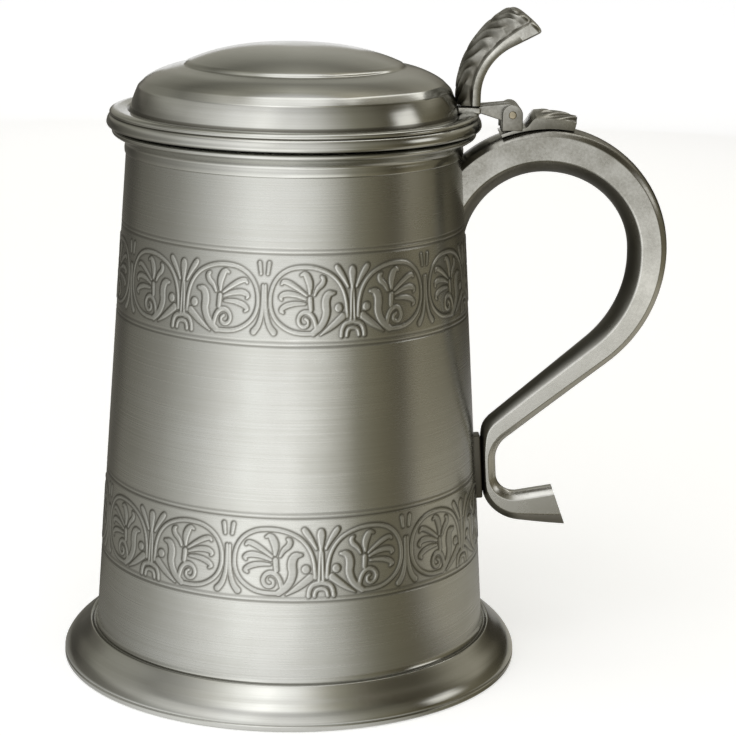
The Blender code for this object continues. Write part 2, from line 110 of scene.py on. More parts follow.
class Look:
    """A node tree with the shader it feeds, and the one way of adding a node to it."""

    def __init__(self, tree, shader):
        self.tree = tree
        self.shader = shader

    def join(self, value, socket):
        if isinstance(value, Value):
            self.tree.links.new(value.socket, socket)
        else:
            socket.default_value = value

    def feed(self, name, value):
        self.join(value, self.shader.inputs[name])

    def feeding(self, name):
        return Value(self, self.shader.inputs[name].links[0].from_socket)

    def add(self, kind, settings, sockets, output=0):
        node = self.tree.nodes.new(kind)
        stops = settings.pop("stops", None)
        for name, value in settings.items():
            setattr(node, name, value)
        if stops:
            ramp = node.color_ramp.elements
            while len(ramp) < len(stops):
                ramp.new(1)
            for element, (position, colour) in zip(ramp, stops):
                element.position = position
                element.color = colour
        for name, value in sockets.items():
            self.join(value, node.inputs[name])
        return Value(self, node.outputs[output])

    def mix(self, factor, first, second):
        sockets = {FACTOR: factor, FIRST_COLOUR: first, SECOND_COLOUR: second}
        return self.add("ShaderNodeMix", {"data_type": "RGBA"}, sockets, MIXED_COLOUR)

    def vector(self, operation, first, second=(0, 0, 0), output="Vector"):
        return self.add("ShaderNodeVectorMath", {"operation": operation}, {0: first, 1: second}, output)

    def place(self):
        return self.add("ShaderNodeTexCoord", {}, {}, "Object")

    def part(self, vector, axis):
        return self.add("ShaderNodeSeparateXYZ", {}, {"Vector": vector}, axis)

    def smooth_share(self, value, start, end):
        """0 up to the start, easing to 1 at the end."""
        span = {"Value": value, "From Min": start, "From Max": end}
        return self.add("ShaderNodeMapRange", {"interpolation_type": "SMOOTHSTEP"}, span)


def metal(name, roughness, anisotropy=0.0, turn=0.0):
    """A bare metal: its look and its material."""
    material = bpy.data.materials.new(name)
    material.use_nodes = True
    look = Look(material.node_tree, material.node_tree.nodes["Principled BSDF"])
    look.feed("Metallic", 1)
    look.feed("Roughness", roughness)
    look.feed("Anisotropic", anisotropy)
    look.feed("Anisotropic Rotation", turn)
    return look, material


def tool_lines(look, fine, along):
    """Fine lines left round the axis by a brush or a turning tool, and a slow unevenness over them."""
    place = look.place()
    centred = look.vector("SUBTRACT", place, (AXIS_X, 0, 0))
    radius = look.vector("LENGTH", look.vector("MULTIPLY", centred, (1, 1, 0)), output="Value")
    x, y, z = [look.part(centred, axis) for axis in "XYZ"]
    across = {"X": radius * fine, "Y": z * fine, "Z": (x + y * LINES_SKEW) * along}
    lines = look.add("ShaderNodeCombineXYZ", {}, across)
    noise = {"Vector": lines, "Scale": 1.0, "Detail": 3.0, "Roughness": 0.65}
    scratch = look.add("ShaderNodeTexNoise", {}, noise)
    cloud = look.add("ShaderNodeTexNoise", {}, {"Vector": place, "Scale": 70.0, "Detail": 4.0})
    return scratch - NOISE_MIDDLE, cloud - NOISE_MIDDLE


def brushed(name, roughness, fine, along, scratching, anisotropy):
    """Pewter with tool lines round the axis, thinly and unevenly tarnished."""
    look, material = metal(name, roughness, anisotropy, ROUND_THE_AXIS)
    scratch, cloud = tool_lines(look, fine, along)
    look.feed("Roughness", roughness + scratch * scratching + cloud * CLOUD_DULLING)
    darkening = TARNISH_SHARE + cloud * TARNISH_CLOUD + scratch * scratching * TARNISH_LINES
    look.feed("Base Color", look.mix(darkening, PEWTER, TARNISH))
    height = {"Height": scratch, "Strength": scratching * LINES_STAND, "Distance": 0.00003}
    look.feed("Normal", look.add("ShaderNodeBump", {}, height))
    return look, material


def rounded(profile):
    """A profile of (radius, height, rounding) points with each corner eased over its rounding."""
    eased = []
    for i, (radius, z, ease) in enumerate(profile):
        corner = Vector((radius, z))
        if ease == 0 or i in (0, len(profile) - 1):
            eased.append(tuple(corner))
            continue
        before = corner + (Vector(profile[i - 1][:2]) - corner).normalized() * ease
        after = corner + (Vector(profile[i + 1][:2]) - corner).normalized() * ease
        for share in (0, 0.2, 0.4, 0.6, 0.8, 1):
            point = before * (1 - share) ** 2 + corner * 2 * share * (1 - share) + after * share**2
            eased.append(tuple(point))
    return eased


def turned(profile):
    """A shape turned about the drum's axis from (radius, height, rounding) points.

    The outline is closed unless it starts on the axis."""
    outline = rounded(profile)
    if outline[0][0] > 0:
        outline.append(outline[0])
    shape = bmesh.new()
    points = [shape.verts.new((radius, 0, z)) for radius, z in outline]
    edges = [shape.edges.new(pair) for pair in zip(points, points[1:])]
    turn = {"axis": (0, 0, 1), "angle": 2 * math.pi, "steps": TURNING_STEPS, "use_merge": True}
    bmesh.ops.spin(shape, geom=points + edges, cent=(0, 0, 0), **turn)
    bmesh.ops.remove_doubles(shape, verts=shape.verts, dist=MERGE)
    bmesh.ops.recalc_face_normals(shape, faces=shape.faces)
    bmesh.ops.translate(shape, verts=shape.verts, vec=(AXIS_X, 0, 0))
    return shape


def bowed(start, end, bulge, count):
    """Points from start to end along an arc that stands out from their chord by bulge, on its left."""
    chord = Vector(end) - Vector(start)
    left = Vector((-chord.y, chord.x)).normalized()
    shares = [i / count for i in range(count + 1)]
    return [(*(Vector(start) + chord * t + left * bulge * 4 * t * (1 - t)), 0) for t in shares]


def piece(name, shape, material, sharp):
    """The finished object of a shape, smooth but for edges sharper than so many degrees."""
    mesh = bpy.data.meshes.new(name)
    shape.to_mesh(mesh)
    shape.free()
    mesh.shade_smooth()
    mesh.set_sharp_from_angle(angle=math.radians(sharp))
    mesh.materials.append(material)
    made = bpy.data.objects.new(name, mesh)
    bpy.context.scene.collection.objects.link(made)
    return made


def drum_side():
    """The outer side from the lip down to the flare, with a channel for each band."""
    points = [(drum_radius(DRUM_TOP), DRUM_TOP, 0)]
    for low, high in (UPPER_BAND, LOWER_BAND):
        points += [(drum_radius(high), high, 0), (drum_radius(high) - CHANNEL_DEPTH, high, 0)]
        points += [(drum_radius(low) - CHANNEL_DEPTH, low, 0), (drum_radius(low), low, 0)]
    flare_top = DRUM_BOTTOM + DRUM_FLARE_HEIGHT
    flare_end = (drum_radius(DRUM_BOTTOM) + DRUM_FLARE, DRUM_BOTTOM)
    return points + bowed((drum_radius(flare_top), flare_top), flare_end, -DRUM_FLARE / 4, count=10)


def drum_radius(z):
    return DRUM_GROUND_RADIUS - DRUM_TAPER * z


drum_inside = [(drum_radius(z) - DRUM_WALL, z, 0) for z in (DRUM_BOTTOM, DRUM_TOP)]
look, satin = brushed(
    "brushed_pewter", roughness=0.28, fine=3200, along=24, scratching=0.13, anisotropy=0.7
)
upright = look.part(look.place(), "Z")
unbrushed = look.smooth_share(upright, DRUM_BOTTOM + DRUM_FLARE_HEIGHT, DRUM_BOTTOM)
look.feed("Roughness", look.feeding("Roughness") * (1 - unbrushed * FLARE_POLISH))
drum = piece("drum_wall", turned(drum_side() + drum_inside), satin, sharp=35)
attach(drum, "vessel")
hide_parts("drum")

# Ornamental bands
# Two friezes of scrolls and palmettes, rolled into strips of the drum's own pewter. Tarnish and
# painted shade lie in the lines round each form, and the raised forms are a little duller than
# the ground.
BAND_ROWS = 84
RING_COLUMNS = 84
RINGS = 13
PITCH = 20.4
BAND_BACK = 0.00046
CREST = 0.00014
GROUND = -0.00002
STROKE_EDGE = 0.14
OUTLINE_OFF = 0.15
OUTLINE_HALF = 0.25
TOP_LINES = ((0.4, 0.6), (1.4, 1.0))
LOW_LINES = ((0.4, 1.0), (1.4, 0.6))
LINE_HALF = 0.34
LINE_DEPTH = 0.00017
GROUND_FROM = 1
GROUND_FULL = 2
MM = 0.001
# The dark that the marks bring: tarnish in real hollows, painted shade on parts that lie in shade
TARNISH_AND_SHADE = (0.07, 0.064, 0.048, 1)
HOLLOW_DULLING = 0.1
CREST_DULLING = 0.22

# The strokes of one ring, in millimetres, as (along, up, half its width). The next ring mirrors them.
SCROLLS = {
    "ring": [
        (1.28, -3.6, 0.36), (1.47, -0.3, 0.36), (2.37, 2.6, 0.36), (4.27, 5.0, 0.36), (6.87, 6.4, 0.36),
        (9.7, 7.1, 0.36), (12.6, 7.1, 0.36), (14.9, 6.6, 0.36), (17.1, 5.2, 0.36), (18.5, 3.1, 0.36),
        (19.05, 0.6, 0.36), (18.9, -1.8, 0.36), (18.0, -3.9, 0.36), (16.4, -5.5, 0.36),
        (14.2, -6.7, 0.36), (11.8, -7.1, 0.36), (9.7, -7.1, 0.36),
    ],
    "clasp arch": [(2.75, -7.7, 0.42), (2.6, -6.3, 0.42), (1.9, -5.1, 0.42), (0, -4.75, 0.42)],
    "clasp inner arch": [(1.45, -7.7, 0.35), (1.3, -6.7, 0.35), (0.8, -6.2, 0.35), (0, -6.1, 0.35)],
    "clasp blade": [(0.48, -4.5, 0.26), (0.22, 2.1, 0.26)],
    "middle drop": [(0, 2.3, 0.3), (0, 5.6, 0.85), (0, 6.4, 0.75)],
    "side drop": [(1.05, 2.8, 0.25), (2.1, 4.8, 0.5), (3.3, 6.5, 0.65), (3.7, 7.0, 0.5)],
    "leaf drop": [(2.4, -3.6, 0.75), (5.0, -5.7, 0.6), (7.6, -7.4, 0.1)],
    "dot": [(3.3, -1.7, 0.85), (3.35, -1.7, 0.85)],
    "stem": [
        (4.3, 1.5, 0.25), (5.9, 1.35, 0.8), (6.5, -0.6, 0.9), (6.05, -2.7, 0.8), (7.1, -5.35, 0.7),
        (9.2, -7.0, 0.6),
    ],
    "volute": [
        (8.4, -6.6, 0.4), (8.6, -5.2, 0.42), (9.1, -3.6, 0.42), (10.2, -2.5, 0.42), (11.6, -2.5, 0.4),
        (12.6, -3.6, 0.38), (12.5, -5.0, 0.36), (11.4, -5.8, 0.34), (10.3, -5.3, 0.3), (10.3, -4.3, 0.28),
        (11.0, -3.9, 0.25),
    ],
    "lobe by the stem": [
        (8.9, 1.2, 0.22), (8.2, 2.6, 0.45), (7.0, 3.5, 0.55), (6.7, 4.6, 0.5), (7.3, 5.0, 0.25),
    ],
    "upright lobe": [
        (10.0, 1.6, 0.3), (9.9, 3.4, 0.7), (10.5, 5.0, 0.75), (11.2, 5.8, 0.4), (12.0, 5.4, 0.2),
    ],
    "high lobe": [
        (10.7, 1.1, 0.22), (12.6, 2.5, 0.4), (14.6, 3.7, 0.5), (16.0, 4.1, 0.4), (16.4, 3.5, 0.22),
    ],
    "level lobe": [
        (10.9, 0.3, 0.22), (13.0, 1.2, 0.45), (15.4, 1.5, 0.55), (16.8, 0.8, 0.4), (16.4, 0.2, 0.22),
    ],
    "low lobe": [
        (11.1, -0.7, 0.22), (13.2, -0.6, 0.42), (15.4, -1.1, 0.52), (16.7, -2.1, 0.4), (16.0, -2.6, 0.22),
    ],
    "root": [(9.7, -1.9, 0.45), (9.9, 0.3, 0.5)],
    "far clasp": [
        (20.1, 3.0, 0.28), (20.12, 0, 0.3), (19.95, -3.0, 0.4), (19.2, -5.6, 0.5), (18.1, -6.9, 0.6),
    ],
    "far drop": [(19.3, 7.8, 0.4), (19.6, 5.6, 0.3)],
}


def softened(stroke):
    """A stroke's points with their corners cut twice, so that it runs in a curve."""
    points = np.array(stroke, float)
    for _ in range(2):
        near = points[:-1] * 0.75 + points[1:] * 0.25
        far = points[:-1] * 0.25 + points[1:] * 0.75
        cut = np.stack([near, far], axis=1).reshape(-1, 3)
        points = np.concatenate([points[:1], cut, points[-1:]])
    return points


def outside_by(x, y, stroke):
    """How far each place lies outside a stroke, less than nothing inside it."""
    least = np.full(x.shape, np.inf)
    points = softened(stroke)
    for (x0, y0, half0), (x1, y1, half1) in zip(points[:-1], points[1:]):
        length = (x1 - x0) ** 2 + (y1 - y0) ** 2
        share = np.clip(((x - x0) * (x1 - x0) + (y - y0) * (y1 - y0)) / length, 0, 1)
        off = np.hypot(x - x0 - share * (x1 - x0), y - y0 - share * (y1 - y0))
        least = np.minimum(least, off - half0 - share * (half1 - half0))
    return least


def smooth(share):
    return share * share * (3 - 2 * share)


def eased_step(low, high, value):
    return smooth(np.clip((value - low) / (high - low), 0, 1))


def frieze(blank, low, high, middle):
    """The relief's height and its marks over a whole band, as rows up and columns round.

    So many blank columns close the ring. A mark is positive in the hollows, negative on the crests."""
    x, y = np.meshgrid(
        np.linspace(0, PITCH, RING_COLUMNS + 1),
        np.linspace(low - middle, high - middle, BAND_ROWS + 1) / MM,
    )
    off = np.minimum.reduce([outside_by(x, y, stroke) for stroke in SCROLLS.values()])
    from_top, from_low = (high - middle) / MM - y, y - (low - middle) / MM
    edge = np.minimum(from_top, from_low)
    offs = [(abs(from_top - at), deep) for at, deep in TOP_LINES]
    offs += [(abs(from_low - at), deep) for at, deep in LOW_LINES]
    line = np.maximum.reduce([deep * (1 - eased_step(0, LINE_HALF, away)) for away, deep in offs])
    raised = 1 - eased_step(-STROKE_EDGE, STROKE_EDGE, off)
    ground = GROUND * eased_step(GROUND_FROM, GROUND_FULL, edge) - LINE_DEPTH * line
    height = ground + (CREST - GROUND) * raised
    outline = np.exp(-(((off - OUTLINE_OFF) / OUTLINE_HALF) ** 2))
    mark = np.maximum(outline, line) - raised * (1 - outline)
    ring = [np.concatenate([a[:, :-1], a[:, :0:-1]], axis=1) for a in (height, mark)]
    whole = [np.tile(a, (1, RINGS // 2 + 1))[:, : RINGS * RING_COLUMNS] for a in ring]
    spare = [np.repeat(a[:, :1], blank, axis=1) for a in (ground, line)]
    joined = [np.concatenate([a, b], axis=1) for a, b in zip(whole, spare)]
    return [np.concatenate([a, a[:, :1]], axis=1) for a in joined]


def laid(rings, marks=None):
    """A grid laid over rings of points, with the seam merged; marks become the hollow attribute."""
    rows, columns = len(rings) - 1, len(rings[0]) - 1
    shape = bmesh.new()
    bmesh.ops.create_grid(shape, x_segments=columns, y_segments=rows, size=0.5)
    hollow = shape.verts.layers.float.new("hollow")
    for vert in shape.verts:
        row, column = round((vert.co.y + 0.5) * rows), round((vert.co.x + 0.5) * columns)
        vert.co = rings[row][column]
        if marks is not None:
            vert[hollow] = marks[row][column]
    bmesh.ops.remove_doubles(shape, verts=shape.verts, dist=MERGE)
    return shape


def band(name, place, middle, start, pitch, material):
    """One strip: its relief outside, a plain back inside, closed at both edges.

    Its first ring starts at an angle in degrees, and a ring takes up pitch degrees."""
    blank = round((360 - RINGS * pitch) / pitch * RING_COLUMNS)
    height, hollow = frieze(blank, *place, middle)
    turns = np.radians(start + pitch / RING_COLUMNS * np.arange(RINGS * RING_COLUMNS + blank))
    turns = np.append(turns, turns[0])
    level = np.linspace(*place, BAND_ROWS + 1)[:, None]
    radius = drum_radius(level) + height
    z = np.broadcast_to(level, radius.shape)
    rings = np.stack([AXIS_X + radius * np.sin(turns), -radius * np.cos(turns), z], axis=-1)
    shape = laid(rings, hollow)
    rim = [edge for edge in shape.edges if edge.is_boundary]
    grown = bmesh.ops.extrude_edge_only(shape, edges=rim)["geom"]
    for vert in (part for part in grown if isinstance(part, bmesh.types.BMVert)):
        out = Vector((vert.co.x - AXIS_X, vert.co.y, 0))
        vert.co -= out.normalized() * BAND_BACK
    back = [part for part in grown if isinstance(part, bmesh.types.BMEdge) and part.is_boundary]
    bmesh.ops.bridge_loops(shape, edges=back)
    bmesh.ops.recalc_face_normals(shape, faces=shape.faces)
    made = piece(name, shape, material, sharp=80)
    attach(made, "vessel")


def darken_hollows(look, depth):
    """Adds the marked dark to a finish: tarnish in a relief's hollows, painted shade on shaded parts."""
    mark = look.add("ShaderNodeAttribute", {"attribute_name": "hollow"}, {}, "Fac")
    hollow, crest = mark.maths("MAXIMUM", mark, 0.0), mark.maths("MAXIMUM", 0 - mark, 0.0)
    plain = look.feeding("Base Color")
    look.feed("Base Color", look.mix(hollow * depth, plain, TARNISH_AND_SHADE))
    dulled = look.feeding("Roughness") + hollow * HOLLOW_DULLING + crest * CREST_DULLING
    look.feed("Roughness", dulled)


look, frieze_finish = brushed(
    "frieze_pewter", roughness=0.27, fine=3200, along=200, scratching=0.12, anisotropy=0.4
)
darken_hollows(look, depth=0.82)
band("upper_band", UPPER_BAND, middle=0.0923, start=-258.1, pitch=360 / RINGS, material=frieze_finish)
band("lower_band", LOWER_BAND, middle=0.0355, start=-261.1, pitch=27.0, material=frieze_finish)

# Lip
# The moulding on the drum's top edge that the lid rests on. It is pewter, cast as a ring, turned
# to its steps and soldered on.
RIM_HEIGHT = 0.1234
LIP_BASE = 0.1179
LIP_RADIUS = 0.040851
lip_profile = [
    (drum_radius(RIM_HEIGHT) - DRUM_WALL, RIM_HEIGHT, 0),
    (LIP_RADIUS - 0.0006, RIM_HEIGHT, 0.0003),
    (LIP_RADIUS, 0.1230, 0.0003),
    (LIP_RADIUS - 0.0001, 0.1224, 0.0004),
    (LIP_RADIUS - 0.0010, 0.1218, 0.0004),
    (LIP_RADIUS - 0.0023, 0.1211, 0.0006),
    (LIP_RADIUS - 0.0030, 0.1202, 0.0004),
    (drum_radius(0.1192) + 0.0004, 0.1192, 0.0004),
    (drum_radius(0.1182) + 0.0003, 0.1182, 0.0002),
    (drum_radius(LIP_BASE) - 0.0002, LIP_BASE, 0.0001),
    (drum_radius(LIP_BASE) - DRUM_WALL, LIP_BASE, 0),
]
turning = {"fine": 2600, "along": 10, "scratching": 0.06, "anisotropy": 0.2}
polish = brushed("turned_pewter", roughness=0.18, **turning)[1]
lip = piece("lip_moulding", turned(lip_profile), polish, sharp=50)
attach(lip, "vessel")
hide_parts("lip_ring")

# Bottom
# The floor of the drum: a flat disc of pewter sheet, let in from below and soldered round
# its edge.
BOTTOM_HIGH = 0.0102
BOTTOM_LOW = 0.0086
bottom_radius = drum_radius(BOTTOM_HIGH) - DRUM_WALL
bottom_profile = [
    (0, BOTTOM_HIGH, 0),
    (bottom_radius, BOTTOM_HIGH, 0.0003),
    (bottom_radius, BOTTOM_LOW, 0.0003),
    (0, BOTTOM_LOW, 0),
]
bottom = piece("bottom_disc", turned(bottom_profile), satin, sharp=40)
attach(bottom, "vessel")
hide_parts("base_disc")

# Foot
# The hollow skirt that the drum stands in, spun from thick pewter sheet over a former and polished.
# A notch parts it from the drum, and a fine groove runs round above its edge on the table.
FOOT_TOP = 0.0084
FOOT_RADIUS = 0.05285
FOOT_WALL = 0.0022
SHELF_RADIUS = 0.0410
foot_profile = [
    (SHELF_RADIUS, FOOT_TOP, 0),
    (0.04545, FOOT_TOP, 0),
    (0.04550, 0.00775, 0.0002),
    (0.04600, 0.00775, 0.0002),
    (0.04670, 0.00835, 0.0003),
    (0.04775, 0.00740, 0.0005),
    (0.04900, 0.00625, 0.0007),
    (0.05040, 0.00510, 0.0007),
    (0.05155, 0.00400, 0.0006),
    (0.05230, 0.00295, 0.0005),
    (0.05275, 0.00205, 0.0003),
    (FOOT_RADIUS, 0.00155, 0.0002),
    (FOOT_RADIUS - 0.0003, 0.00132, 0.0001),
    (FOOT_RADIUS, 0.00108, 0.0001),
    (FOOT_RADIUS, 0, 0.0004),
    (FOOT_RADIUS - FOOT_WALL, 0, 0.0005),
    (0.05020, 0.00170, 0.0006),
    (0.04470, FOOT_TOP - FOOT_WALL, 0.0006),
    (SHELF_RADIUS, FOOT_TOP - FOOT_WALL, 0),
]
# The notch's cove, darkened with tarnish and painted shade
FOOT_COVES = [(0.0457, 0.0078, 0.0007)]


def with_dark_coves(shape, coves):
    """A turned shape with its (radius, height, reach) coves marked for tarnish and painted shade in them.
    """
    hollow = shape.verts.layers.float.new("hollow")
    for vert in shape.verts:
        radius = math.hypot(vert.co.x - AXIS_X, vert.co.y)
        off = [math.hypot(radius - cove, vert.co.z - z) / reach for cove, z, reach in coves]
        vert[hollow] = max(0, 1 - min(off) ** 2)
    return shape


look, foot_polish = brushed("foot_pewter", roughness=0.17, **turning)
darken_hollows(look, depth=0.5)
foot = piece("skirt_foot", with_dark_coves(turned(foot_profile), FOOT_COVES), foot_polish, sharp=50)
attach(foot, "vessel")
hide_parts("foot_ring")

# Handle
# Pewter cast in one piece: a deep arch, a straight run back towards the drum, and a curl that ends
# in a cut tail. Its back and sides are rubbed, lighter low down, and its root and inner face are
# darkened with painted shade.
HANDLE_WIDTH = 0.0106
HANDLE_TAIL_WIDTH = 0.0052
HANDLE_CROWN = 0.0006
HANDLE_SIDE = 0.67
HANDLE_BEVEL = 0.0012
BEVEL_SHARES = (0.1, 0.5, 0.9, 0.97)
BEVEL_ROUND = 1.25
UNDER_BEVEL = (1.08, 1.16)
BACK_POINTS = 11
SIDE_POINTS = len(UNDER_BEVEL) + 1
BELLY_POINTS = 33
HANDLE_RIDGE = math.radians(50)
RIDGE_EASE = 0.0002
ARCH_CENTRE = Vector((0.056651, 0.0961018))
ARCH_START = math.radians(172)
ARCH_RADIUS = 0.0279
ARCH_LOWER_RADIUS = 0.0330
ARCH_DEPTH = 0.0098
REACH_DEPTH = 0.0083
RUN_DEPTH = 0.0062
RUN_SLOPE = math.radians(38.9)
CURL_RADIUS = 0.0070
CURL_STRAIGHT = 0.0035
CURL_DEPTH = 0.0028
CURL_SWELL_START = math.radians(200)
CURL_FOOT_RADIUS = 0.0048
CURL_FOOT_DEPTH = 0.0068
CURL_STAND = 0.0015
TAIL_LENGTH = 0.0083
TAIL_DEPTH = 0.0096
TAIL_RISE = math.radians(10)
TAIL_TURN = 1.5 * math.pi + TAIL_RISE
TAIL_RAKE = math.radians(10)
WALL_FACING = math.pi + math.atan(DRUM_TAPER)
HANDLE_IN_WALL = 0.0006
DEPTH_BLEND = 6
# How sharply the belly's painted shade fades towards its edges
BELLY_SHADE_EDGE = 0.4
CAST_PEWTER = (0.33, 0.325, 0.30, 1)
LOWER_PEWTER = (0.51, 0.505, 0.475, 1)
LIGHTENING_TOP = 0.116
LIGHTENING_FULL = 0.085
LIGHTENING_SHARE = 0.7
# Painted shade on the back of the handle's root, under the lid: so many sections, then a fade
SHADED_ROOT_RINGS = 16
SHADED_ROOT_FADE = 8
CAST_STAIN = (0.12, 0.112, 0.088, 1)
STAIN_SHARE, STAIN_CLOUD, STAIN_GRAIN = 0.25, 1.5, 0.8
CAST_CLOUD, CAST_GRAIN = 0.25, 0.15


def around(angle):
    """The direction at an angle in the upright plane of the handle, from X towards Z."""
    return Vector((math.cos(angle), math.sin(angle)))


def eased(start, end, share):
    return start + (end - start) * smooth(share)


def on_arc(centre, radius, angle, way):
    """An arc's point at an angle and its direction there: way is 1 anticlockwise and -1 clockwise."""
    return centre + around(angle) * radius, around(angle + way * math.pi / 2)


def steps_between(start, end, count):
    return [start + (end - start) * i / count for i in range(1, count + 1)]


def handle_layout():
    """The centre of the arch's lower part, the run's ends and the curl's two centres."""
    slope = around(RUN_SLOPE)
    outward = Vector((slope.y, -slope.x))
    lower_centre = ARCH_CENTRE - Vector((ARCH_LOWER_RADIUS - ARCH_RADIUS, 0))
    run_start = lower_centre + outward * ARCH_LOWER_RADIUS
    from_wall = run_start + outward * CURL_RADIUS
    stand = (CURL_STAND + CURL_DEPTH + CURL_RADIUS) / math.cos(WALL_FACING)
    spare = from_wall.x - drum_radius(from_wall.y) + stand
    run_end = run_start - slope * spare / (slope.x + DRUM_TAPER * slope.y)
    curl_centre = run_end + outward * CURL_RADIUS
    foot_centre = curl_centre + around(WALL_FACING) * (CURL_RADIUS - CURL_FOOT_RADIUS)
    foot_centre += around(WALL_FACING + math.pi / 2) * CURL_STRAIGHT
    return lower_centre, run_start, run_end, curl_centre, foot_centre


def flat_depth(radius, angle):
    """The curl's depth where its back is flat, to stand on the pad."""
    return (radius + CURL_DEPTH) / math.cos(angle - WALL_FACING) - radius


def foot_depth(angle):
    """The depth round the curl's foot, which swells from the pad to the tail."""
    if angle < CURL_SWELL_START:
        return flat_depth(CURL_FOOT_RADIUS, angle)
    start = flat_depth(CURL_FOOT_RADIUS, CURL_SWELL_START)
    share = (angle - CURL_SWELL_START) / (TAIL_TURN - CURL_SWELL_START)
    return start + (CURL_FOOT_DEPTH - start) * share


def handle_stations():
    """(point, direction, depth, taper, rake) along the handle's back, from the drum to the tail."""
    lower_centre, run_start, run_end, curl_centre, foot_centre = handle_layout()
    stations = []
    for angle in [ARCH_START, *steps_between(ARCH_START, 0, count=70)]:
        depth = eased(ARCH_DEPTH, REACH_DEPTH, max(0, 1 - 2 * angle / math.pi))
        stations.append((*on_arc(ARCH_CENTRE, ARCH_RADIUS, angle, -1), depth, 0, 0))
    lower_depth = (REACH_DEPTH + RUN_DEPTH) / 2
    for share in steps_between(0, 1, count=20):
        angle = -(math.pi / 2 - RUN_SLOPE) * share
        depth = REACH_DEPTH + (lower_depth - REACH_DEPTH) * share
        stations.append((*on_arc(lower_centre, ARCH_LOWER_RADIUS, angle, -1), depth, share / 2, 0))
    along = run_end - run_start
    for share in steps_between(0, 1, count=16):
        depth = lower_depth + (RUN_DEPTH - lower_depth) * share
        stations.append((run_start + along * share, along, depth, (1 + share) / 2, 0))
    for angle in steps_between(math.pi / 2 + RUN_SLOPE, WALL_FACING, count=20):
        flat = flat_depth(CURL_RADIUS, angle)
        depth = (RUN_DEPTH**-DEPTH_BLEND + flat**-DEPTH_BLEND) ** (-1 / DEPTH_BLEND)
        stations.append((*on_arc(curl_centre, CURL_RADIUS, angle, 1), depth, 1, 0))
    for angle in [WALL_FACING, *steps_between(WALL_FACING, TAIL_TURN, count=26)]:
        stations.append((*on_arc(foot_centre, CURL_FOOT_RADIUS, angle, 1), foot_depth(angle), 1, 0))
    tail = around(TAIL_RISE)
    tail_from = foot_centre + around(TAIL_TURN) * CURL_FOOT_RADIUS
    for share in steps_between(0, 1, count=6):
        depth = CURL_FOOT_DEPTH + (TAIL_DEPTH - CURL_FOOT_DEPTH) * share
        stations.append((tail_from + tail * TAIL_LENGTH * share, tail, depth, 1, TAIL_RAKE * share))
    return stations


def handle_section(width, depth):
    """A crowned, bevelled back, flat sides and a ridged round belly, as (across, depth) points."""
    half = width / 2
    side = HANDLE_SIDE * depth
    flat = half - HANDLE_BEVEL
    back = [(flat * x, -HANDLE_CROWN * (1 - x * x)) for x in np.linspace(-1, 1, BACK_POINTS)]
    edge = [(flat + HANDLE_BEVEL * t, HANDLE_BEVEL * t**BEVEL_ROUND) for t in BEVEL_SHARES]
    edge += [(half, HANDLE_BEVEL * deep) for deep in UNDER_BEVEL] + [(half, side - RIDGE_EASE)]
    low = math.sin(HANDLE_RIDGE)
    belly = []
    for turn in np.linspace(HANDLE_RIDGE, math.pi - HANDLE_RIDGE, BELLY_POINTS):
        across = half * math.cos(turn) / math.cos(HANDLE_RIDGE)
        belly.append((across, side + (depth - side) * (math.sin(turn) - low) / (1 - low)))
    mirrored = [(-across, deep) for across, deep in reversed(edge)]
    return back + edge + belly + mirrored + back[:1]


def set_section(point, direction, section, rake=0.0, origin=(AXIS_X, 0, 0)):
    """Section points in space: depth runs to the right of the path's direction, turned by rake."""
    angle = math.atan2(direction[1], direction[0]) - math.pi / 2 + rake
    right = Vector((math.cos(angle), 0, math.sin(angle)))
    middle = Vector((point[0], 0, point[1])) + Vector(origin)
    return [middle + right * depth + Vector((0, across, 0)) for across, depth in section]


def capped(shape):
    """A shape with its open ends filled and its faces turned outwards."""
    bmesh.ops.holes_fill(shape, edges=[edge for edge in shape.edges if edge.is_boundary])
    bmesh.ops.recalc_face_normals(shape, faces=shape.faces)
    return shape


def handle_shape():
    """The handle, cut off inside the drum's wall, with its root and belly marked for painted shade."""
    rings, marks = [], []
    bevels = len(BEVEL_SHARES)
    sides = [0] * SIDE_POINTS
    belly = list(np.sin(np.linspace(0, math.pi, BELLY_POINTS)) ** BELLY_SHADE_EDGE)
    for number, (point, direction, depth, taper, rake) in enumerate(handle_stations()):
        section = handle_section(eased(HANDLE_WIDTH, HANDLE_TAIL_WIDTH, taper), depth)
        rings.append(set_section(point, direction, section, rake))
        # Painted shade on the root's back and on the belly, which faces the drum
        root = 1 - min(1, max(0, (number - SHADED_ROOT_RINGS) / SHADED_ROOT_FADE))
        marks.append([root] * (BACK_POINTS + bevels) + sides + belly + sides + [root] * (bevels + 1))
    shape = laid(rings, marks)
    height = ARCH_CENTRE.y
    inside = (AXIS_X + drum_radius(height) - HANDLE_IN_WALL, 0, height)
    cut = {"plane_co": inside, "plane_no": (1, 0, DRUM_TAPER), "clear_inner": True}
    bmesh.ops.bisect_plane(shape, geom=shape.verts[:] + shape.edges[:] + shape.faces[:], **cut)
    return capped(shape)


def cast(name, roughness, colour):
    """Cast pewter rubbed to a satin, with faint file marks and a cloudy stain."""
    look, material = metal(name, roughness)
    place = look.place()
    slow = {"Vector": place, "Scale": 160.0, "Detail": 5.0}
    fine = {"Vector": place, "Scale": 1500.0, "Detail": 3.0, "Roughness": 0.6}
    cloud, grain = [look.add("ShaderNodeTexNoise", {}, noise) - NOISE_MIDDLE for noise in (slow, fine)]
    look.feed("Roughness", roughness + cloud * CAST_CLOUD + grain * CAST_GRAIN)
    stain = STAIN_SHARE + cloud * STAIN_CLOUD + grain * STAIN_GRAIN
    look.feed("Base Color", look.mix(stain, colour, CAST_STAIN))
    height = {"Height": grain, "Strength": 0.12, "Distance": 0.00006}
    look.feed("Normal", look.add("ShaderNodeBump", {}, height))
    return look, material


